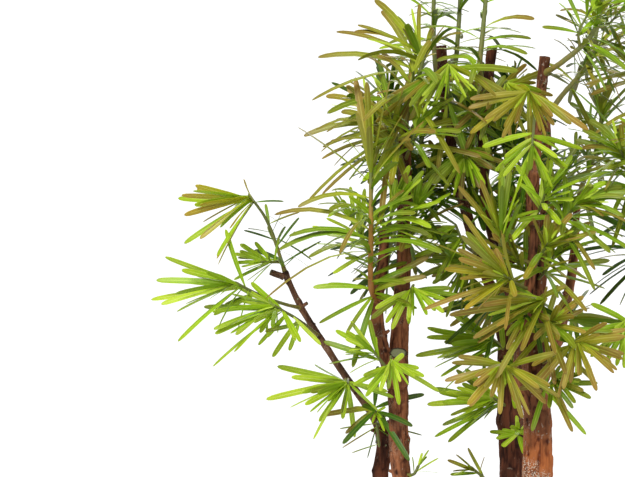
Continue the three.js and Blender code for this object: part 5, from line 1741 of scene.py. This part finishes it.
# finer sprays that fill the crown between the masses, each on a limb within a mass's reach
SPRAYS = (
    spray("stem_left", Tone.GREEN, (404, 246), [(412, 226, -36), (416, 208, -42)], (0.35, -0.35, 0.87), 13, 46,
          (70, 14), 0.16, low=0.3),
    spray("limb_left_front", Tone.LIME, (384, 240), [(390, 222, -42), (394, 204, -46)], (0.5, -0.25, 0.83), 12, 46,
          (60, 12), 0.12, low=0.3),
    spray("stem_left", Tone.OLIVE, (405, 168), [(398, 146, -40), (392, 116, -44)], (-0.2, -0.25, 0.95), 14, 58,
          (76, 14), 0.22),
    spray("stem_left", Tone.GREEN, (405, 162), [(412, 142, -38), (420, 120, -46)], (0.3, -0.4, 0.86), 14, 54, (84, 16),
          0.22),
    spray("stem_left", Tone.DEEP, (404, 212), [(416, 196, -6), (428, 176, 0)], (0.6, -0.2, 0.7), 15, 54, (86, 20)),
    spray("limb_rear_left", Tone.DEEP, (464, 200), [(452, 190, 24), (446, 176, 34)], (-0.5, -0.3, 0.6), 14, 50),
    spray("limb_rear_left", Tone.DEEP, (450, 142), [(462, 128, 22), (468, 108, 26)], (0.3, -0.3, 0.8), 15, 54,
          (90, 20)),
    spray("limb_rear_right", Tone.DEEP, (483, 168), [(494, 150, 14), (500, 136, 18)], (0.4, -0.3, 0.7), 15, 54,
          (90, 20), 0.22),
    spray("limb_rear_right", Tone.GREEN, (485, 130), [(478, 118, -30), (474, 104, -40)], (-0.2, -0.6, 0.6), 13, 50,
          (84, 16)),
    spray("limb_rear_right", Tone.OLIVE, (488, 102), [(498, 92, -32), (506, 82, -44)], (0.4, -0.6, -0.4), 13, 52,
          (86, 14)),
    spray("limb_rear_right", Tone.DEEP, (489, 226), [(478, 212, 10), (470, 196, 14)], (-0.4, -0.4, 0.6), 14, 50),
    spray("stem_rear", Tone.GREEN, (507, 222), [(514, 206, -4), (520, 190, -16)], (0.25, -0.5, 0.82), 14, 50, (84, 14),
          0.14),
    spray("limb_front_left", Tone.GREEN, (531, 264), [(515, 256, -74), (503, 246, -82), (500, 228, -84)],
          (-0.05, -0.12, 1), 11, 62, (30, 6), 0.03, low=0.62, fill=0.4),
    spray("stem_front", Tone.LIME, (533, 222), [(542, 204, -58), (546, 190, -66)], (0.3, -0.5, 0.8), 13, 48, (70, 12),
          0.14),
    spray("stem_front", Tone.OLIVE, (534, 288), [(526, 272, -60), (518, 262, -70)], (-0.5, -0.4, 0.7), 13, 50, (70, 12),
          0.12),
    spray("stem_rear", Tone.DEEP, (505, 312), [(496, 300, -6), (488, 294, -10)], (-0.8, -0.3, 0.1), 14, 52, (86, 16),
          0.16),
    spray("stem_front", Tone.OLIVE, (537, 344), [(546, 330, -64), (552, 322, -74)], (0.1, -0.6, 0.1), 14, 52, (84, 14),
          0.16),
    spray("stem_front", Tone.GREEN, (534, 284), [(546, 270, -54), (554, 256, -60)], (0.5, -0.4, 0.6), 14, 52, (84, 14)),
    spray("bough_left", Tone.DEEP, (369, 407), [(374, 408, -4), (376, 412, -22)], (0.1, -0.8, -0.2), 8, 44, (86, 40),
          0.14, low=0.6, fill=0.5),
    spray("stem_back", Tone.DEEP, (543, 250), [(534, 232, 70), (526, 210, 62)], (-0.4, -0.3, 0.6)),
    spray("stem_back", Tone.DEEP, (545, 214), [(552, 196, 76), (560, 176, 70)], (0.4, -0.3, 0.6)),
    spray("stem_front", Tone.DEEP, (533, 188), [(522, 170, -18), (514, 152, -14)], (-0.4, -0.2, 0.6)),
    spray("stem_right", Tone.DEEP, (646, 274), [(642, 254, 12), (634, 234, 20)], (-0.4, 0.2, 0.6)),
    spray("bough_left", Tone.DEEP, (379, 426), [(377, 424, -4), (379, 444, -8)], None, 11, 36, (88, 80), 0.05, low=0.1,
          fill=0, slim=0.3, young=0),
    spray("stem_front", Tone.OLIVE, (533, 268), [(540, 256, -60), (548, 244, -72)], (0.2, -0.6, 0.5), 13, 52, (80, 14),
          0.14),
    spray("stem_front", Tone.DEEP, (536, 300), [(530, 306, -70), (524, 318, -80)], (-0.2, -0.7, -0.2), 9, 40, (84, 14),
          0.14),
    spray("stem_front", Tone.GREEN, (538, 392), [(548, 386, -66), (556, 380, -76)], (0.3, -0.6, -0.2), 12, 42, (80, 14),
          0.14),
    spray("stem_rear", Tone.GREEN, (507, 378), [(512, 372, 2), (516, 362, -4)], (0.2, -0.7, 0.2), 12, 36, (80, 14),
          0.12),
    spray("stem_rear", Tone.LIME, (511, 436), [(518, 434, 2), (520, 430, -6)], (-0.3, -0.8, 0.1), 9, 26, (80, 14),
          0.12),
    spray("stem_left", Tone.LIME, (404, 474), [(414, 474, -30), (418, 467, -34)], (0.6, -0.3, 0.7), 8, 27, (62, 20),
          0.1, low=0.3, fill=0, slim=0.45, young=2),
    spray("stem_right", Tone.GREEN, (654, 162), [(660, 142, -30), (668, 118, -30)], (0.4, -0.3, 0.7), 15, 56, (86, 20),
          0.22),
)


# ---------------------------------------------------------------------------------------------------- pot and soil
@dataclass
class Pot:
    """The plain round pot: a turned wall that tapers to its foot, with a proud rim and four drain holes."""

    height: float = 230.0
    rim_radius: float = 150.0
    rim_height: float = 27.0
    rim_proud: float = 5.0
    wall: float = 7.0
    floor: float = 9.0
    base_radius: float = 112.0
    hole_radius: float = 6.0
    hole_circle: float = 60.0
    holes: int = 4
    around: int = 160

    def outer(self, z: float) -> float:
        """Radius of the wall outside at a height; the body's own where the rim stands proud of it."""
        return self.base_radius + (self.rim_radius - self.rim_proud - self.base_radius) * z / self.height

    def profile(self) -> Array:
        """The wall's outline as (radius, height): from the middle underneath over the rim to the middle inside.

        Returns:
            The outline's points, in order.
        """
        def arc(r: float, z: float, size: float, start: float, end: float, steps: int = 5) -> list[tuple[float, float]]:
            """Points of a rounded corner about (r, z)."""
            turns = [math.radians(a) for a in np.linspace(start, end, steps)]
            return [(r + size * math.cos(a), z + size * math.sin(a)) for a in turns]

        top, rim, floor, wall = self.height, self.rim_radius, self.floor, self.wall
        body, shoulder = rim - self.rim_proud, top - self.rim_height
        under = [(r, 0) for r in (0.02, 40, 54, 66, 90)]
        outside = [(self.outer(z), z) for z in np.linspace(8, shoulder - 3, 46)]
        band = [(rim, z) for z in np.linspace(shoulder + 7, top - 5, 8)]
        inside = [(self.outer(z) - wall, z) for z in np.linspace(top - 8, floor + 4, 30)]
        bottom = [(r, floor) for r in (80, 66, 54, 30, 0.02)]
        return np.array([*under, *arc(self.base_radius - 2.6, 2.6, 2.6, -90, -4), *outside,
                         (self.outer(shoulder) + 0.2, shoulder - 0.6), *arc(rim - 3.2, shoulder + 5, 3.2, -70, 0),
                         *band, *arc(rim - 2.4, top - 2.4, 2.4, 8, 90),
                         *arc(body - wall + 3.2, top - 3.2, 3.2, 90, 176), *inside,
                         *arc(self.outer(floor) - wall - 3, floor + 3, 3, -4, -86, 4), *bottom])

    def bore(self, wall: bpy.types.Object, turn: float) -> None:
        """Cuts one drain hole through the floor at an angle round the pot.

        Args:
            wall: the pot's wall.
            turn: the angle, in radians.
        """
        x, y = self.hole_circle * math.cos(turn) * MM, self.hole_circle * math.sin(turn) * MM
        bpy.ops.mesh.primitive_cylinder_add(vertices=32, radius=self.hole_radius * MM, depth=self.floor * 3 * MM,
                                            location=(x, y, self.floor / 2 * MM))
        drill = bpy.context.object
        cut = wall.modifiers.new("hole", "BOOLEAN")
        cut.operation, cut.object, cut.solver = "DIFFERENCE", drill, "EXACT"
        shape = bpy.data.meshes.new_from_object(wall.evaluated_get(bpy.context.evaluated_depsgraph_get()))
        wall.modifiers.clear()
        wall.data = shape
        bpy.data.objects.remove(drill)

    def build(self) -> None:
        """Turns the outline, adds faint turning lines, bores the drain holes and replaces the solid."""
        radius, height = self.profile().T
        angle = full_turn(self.around)
        lines = 0.16 * np.sin(height * 0.9) + 0.1 * np.sin(height * 0.37 + 1)
        upright = ((height > 10) & (height < self.height - 8)).astype(float)
        wobble = 1 + 0.0009 * np.sin(2 * angle + 0.7) + 0.0006 * np.sin(5 * angle)
        rings = lathe(radius + lines * upright, height, angle, wobble)
        skin = tube(rings, np.array([0.0, 0.0, 0.0]), np.array([0.0, 0.0, self.floor]))
        piece = skin.piece("pot_wall", StonewareFinish().material())
        for k in range(self.holes):
            self.bore(piece, math.radians(45 + 360 / self.holes * k))
        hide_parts("pot")


@dataclass
class Soil:
    """The potting mix in the pot, uneven on top, with bark chips lying on it."""

    pot: Pot
    top: float = 215.0
    gap: float = 0.5
    lowest: float = 9.4
    around: int = 180
    chips: int = 900
    chip_rim: float = 7.0
    chip_lift: float = 0.35

    def inner(self, height: float) -> float:
        """The pot's inside radius at a height, less the gap."""
        return self.pot.outer(height) - self.pot.wall - self.gap

    def lift(self, x: Array, y: Array) -> Array:
        """Height of the mix above its level: soft heaps and fine crumbs, falling to the wall.

        Args:
            x: places across, in millimetres.
            y: places in depth, in millimetres.

        Returns:
            A height for each.
        """
        at, edge = np.stack([x, y, 0 * x], -1), self.inner(self.top)
        crumbs = 1.7 * (noise(at / 24, 5) - 0.5) + 1.6 * (noise(at / 7, 6) - 0.5) + 1.5 * (noise(at / 2.6, 7) - 0.5)
        return crumbs * (1 - 0.6 * smooth(edge - 14, edge, np.hypot(x, y)))

    def build(self) -> None:
        """Makes the mix and its chips and replaces the solid."""
        edge = self.inner(self.top)
        side = [(self.inner(z), z) for z in np.linspace(self.lowest, self.top - 2, 12)]
        top = [(r, self.top - 1.2 * (r / edge) ** 6) for r in np.linspace(edge - 0.5, 1.2, 90)]
        radius, height = np.array([(30, self.lowest), (70, self.lowest), *side, *top]).T
        rings = lathe(radius, height, full_turn(self.around))
        over = height > self.top - 1.9
        rings[over, :, 2] += self.lift(rings[over, :, 0], rings[over, :, 1])
        skin = tube(rings, np.array([0.0, 0.0, self.lowest]), np.array([0.0, 0.0, self.top]))
        piece = skin.piece("potting_mix_bed", MixFinish("potting_mix").material())
        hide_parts("soil")
        chips = self.chip_skin().piece("bark_chips", MixFinish("bark_chip", (62, 42, 31), (124, 92, 66)).material())

    def chip_skin(self) -> Surface:
        """Flat splinters of bark with eight uneven corners each, turned at chance and sunk a little into the mix.

        Returns:
            All splinters as one surface.
        """
        r = draws(np.arange(self.chips) * 7 + 501, 34)
        away = (self.inner(self.top) - self.chip_rim) * np.sqrt(r[:, 0])
        turn, bearing = r[:, 1] * 2 * math.pi, r[:, 2] * 2 * math.pi
        x, y = away * np.cos(bearing), away * np.sin(bearing)
        size = np.stack([2.2 + 4.6 * r[:, 3] ** 2, 1.4 + 1.8 * r[:, 4], 0.5 + 0.8 * r[:, 5]], -1)
        corner = np.array([(i, j, k) for k in (-1, 1) for j in (-1, 1) for i in (-1, 1)], float)
        shape = corner[None] * (0.72 + 0.5 * r[:, 6:30].reshape(-1, 8, 3)) * size[:, None]
        shape[..., 2] += shape[..., 0] * np.tan((r[:, 30] - 0.5) * 0.9)[:, None] * 0.7
        long, broad, cos, sin = shape[..., 0], shape[..., 1], np.cos(turn)[:, None], np.sin(turn)[:, None]
        spun = np.stack([long * cos - broad * sin, long * sin + broad * cos, shape[..., 2]], -1)
        place = np.stack([x, y, self.top + self.lift(x, y) + self.chip_lift * size[:, 2]], -1)
        quads = np.array([(0, 2, 3, 1), (4, 5, 7, 6), (0, 1, 5, 4), (2, 6, 7, 3), (0, 4, 6, 2), (1, 3, 7, 5)])
        faces = (quads + (np.arange(self.chips) * 8)[:, None, None]).reshape(-1, 4)
        points = (spun + place[:, None]).reshape(-1, 3)
        return Surface(points, [faces], [map_from_above(points, faces)])


# ---------------------------------------------------------------------------------------------------- studio
@dataclass
class Studio:
    """The pale floor, the soft lights and the camera.

    A lamp is (name, place, size, power by that of the key). All face the middle of the plant.
    """

    lens: float = 102.4
    sensor: float = 36.0
    key: float = 98.0
    fill: float = 0.46
    backdrop: float = 1.15
    pale: float = 0.93
    floor_radius: float = 2.2
    middle: Triple = (0.0, 0.0, 0.5)
    lamps: tuple[tuple[str, Triple, float, float], ...] = (
        ("key", (-1.5, -2.2, 2.6), 1.6, 1.0),
        ("side", (2.4, -1.2, 1.6), 1.8, 0.3),
        ("back", (0.6, 2.4, 2.2), 1.8, 0.45))

    def floor(self) -> None:
        """A wide round pale floor under the pot; it ends before the camera would look over it."""
        s = Shader("floor", Roughness=0.9, Base_Color=(self.pale, self.pale, self.pale, 1))
        bpy.ops.mesh.primitive_circle_add(vertices=96, radius=self.floor_radius, fill_type="NGON",
                                          location=(0, 0, -0.0005))
        plane = bpy.context.object
        plane.name = "floor"
        plane.data.materials.append(s.material)

    def light(self, name: str, place: Triple, size: float, power: float) -> None:
        """One soft square lamp.

        Args:
            name: the lamp's name.
            place: where it stands, in metres.
            size: its side, in metres.
            power: its strength, in watts.
        """
        lamp = bpy.data.lights.new(name, "AREA")
        lamp.size, lamp.energy = size, power
        made = bpy.data.objects.new(name, lamp)
        bpy.context.scene.collection.objects.link(made)
        made.location = place
        made.rotation_mode = "QUATERNION"
        made.rotation_quaternion = (Vector(self.middle) - Vector(place)).to_track_quat("-Z", "Y")

    def world(self) -> bpy.types.World:
        """White all round: the backdrop's strength where the camera sees it, the fill light's elsewhere.

        Returns:
            The world.
        """
        world = bpy.data.worlds.new("studio")
        world.use_nodes = True
        tree = world.node_tree
        back = tree.nodes["Background"]
        back.inputs["Color"].default_value = (1, 1, 1, 1)
        path = tree.nodes.new("ShaderNodeLightPath")
        strength = tree.nodes.new("ShaderNodeMapRange")
        strength.inputs["To Min"].default_value, strength.inputs["To Max"].default_value = self.fill, self.backdrop
        tree.links.new(path.outputs["Is Camera Ray"], strength.inputs["Value"])
        tree.links.new(strength.outputs[0], back.inputs["Strength"])
        return world

    def build(self) -> None:
        """Sets the floor, world, lamps, camera and view transform."""
        self.floor()
        scene = bpy.context.scene
        scene.world = self.world()
        for name, place, size, share in self.lamps:
            self.light(name, place, size, self.key * share)
        view = scene.view_settings
        view.view_transform, view.look, view.exposure = "Standard", "None", 0.0
        camera = bpy.data.cameras.new("camera")
        camera.sensor_width, camera.sensor_fit, camera.lens = self.sensor, "HORIZONTAL", self.lens
        camera.clip_start, camera.clip_end = 0.05, 100
        eye = bpy.data.objects.new("camera", camera)
        scene.collection.objects.link(eye)
        eye.location = (DRAWING.x * MM, -DRAWING.distance * MM, DRAWING.z * MM)
        eye.rotation_euler = (math.pi / 2, 0, 0)
        scene.camera = eye


def main() -> None:
    """Builds the pot, the wood, the foliage and the studio."""
    logging.basicConfig(level=logging.INFO, format="%(message)s")
    Studio().build()
    pot = Pot()
    pot.build()
    Soil(pot).build()
    wood = Woodwork(LIMBS)
    wood.build()
    RootCrown(LIMBS).build()
    Foliage(MASSES, SPRAYS, wood).build()
    bpy.context.view_layer.update()


if __name__ == "__main__":
    main()
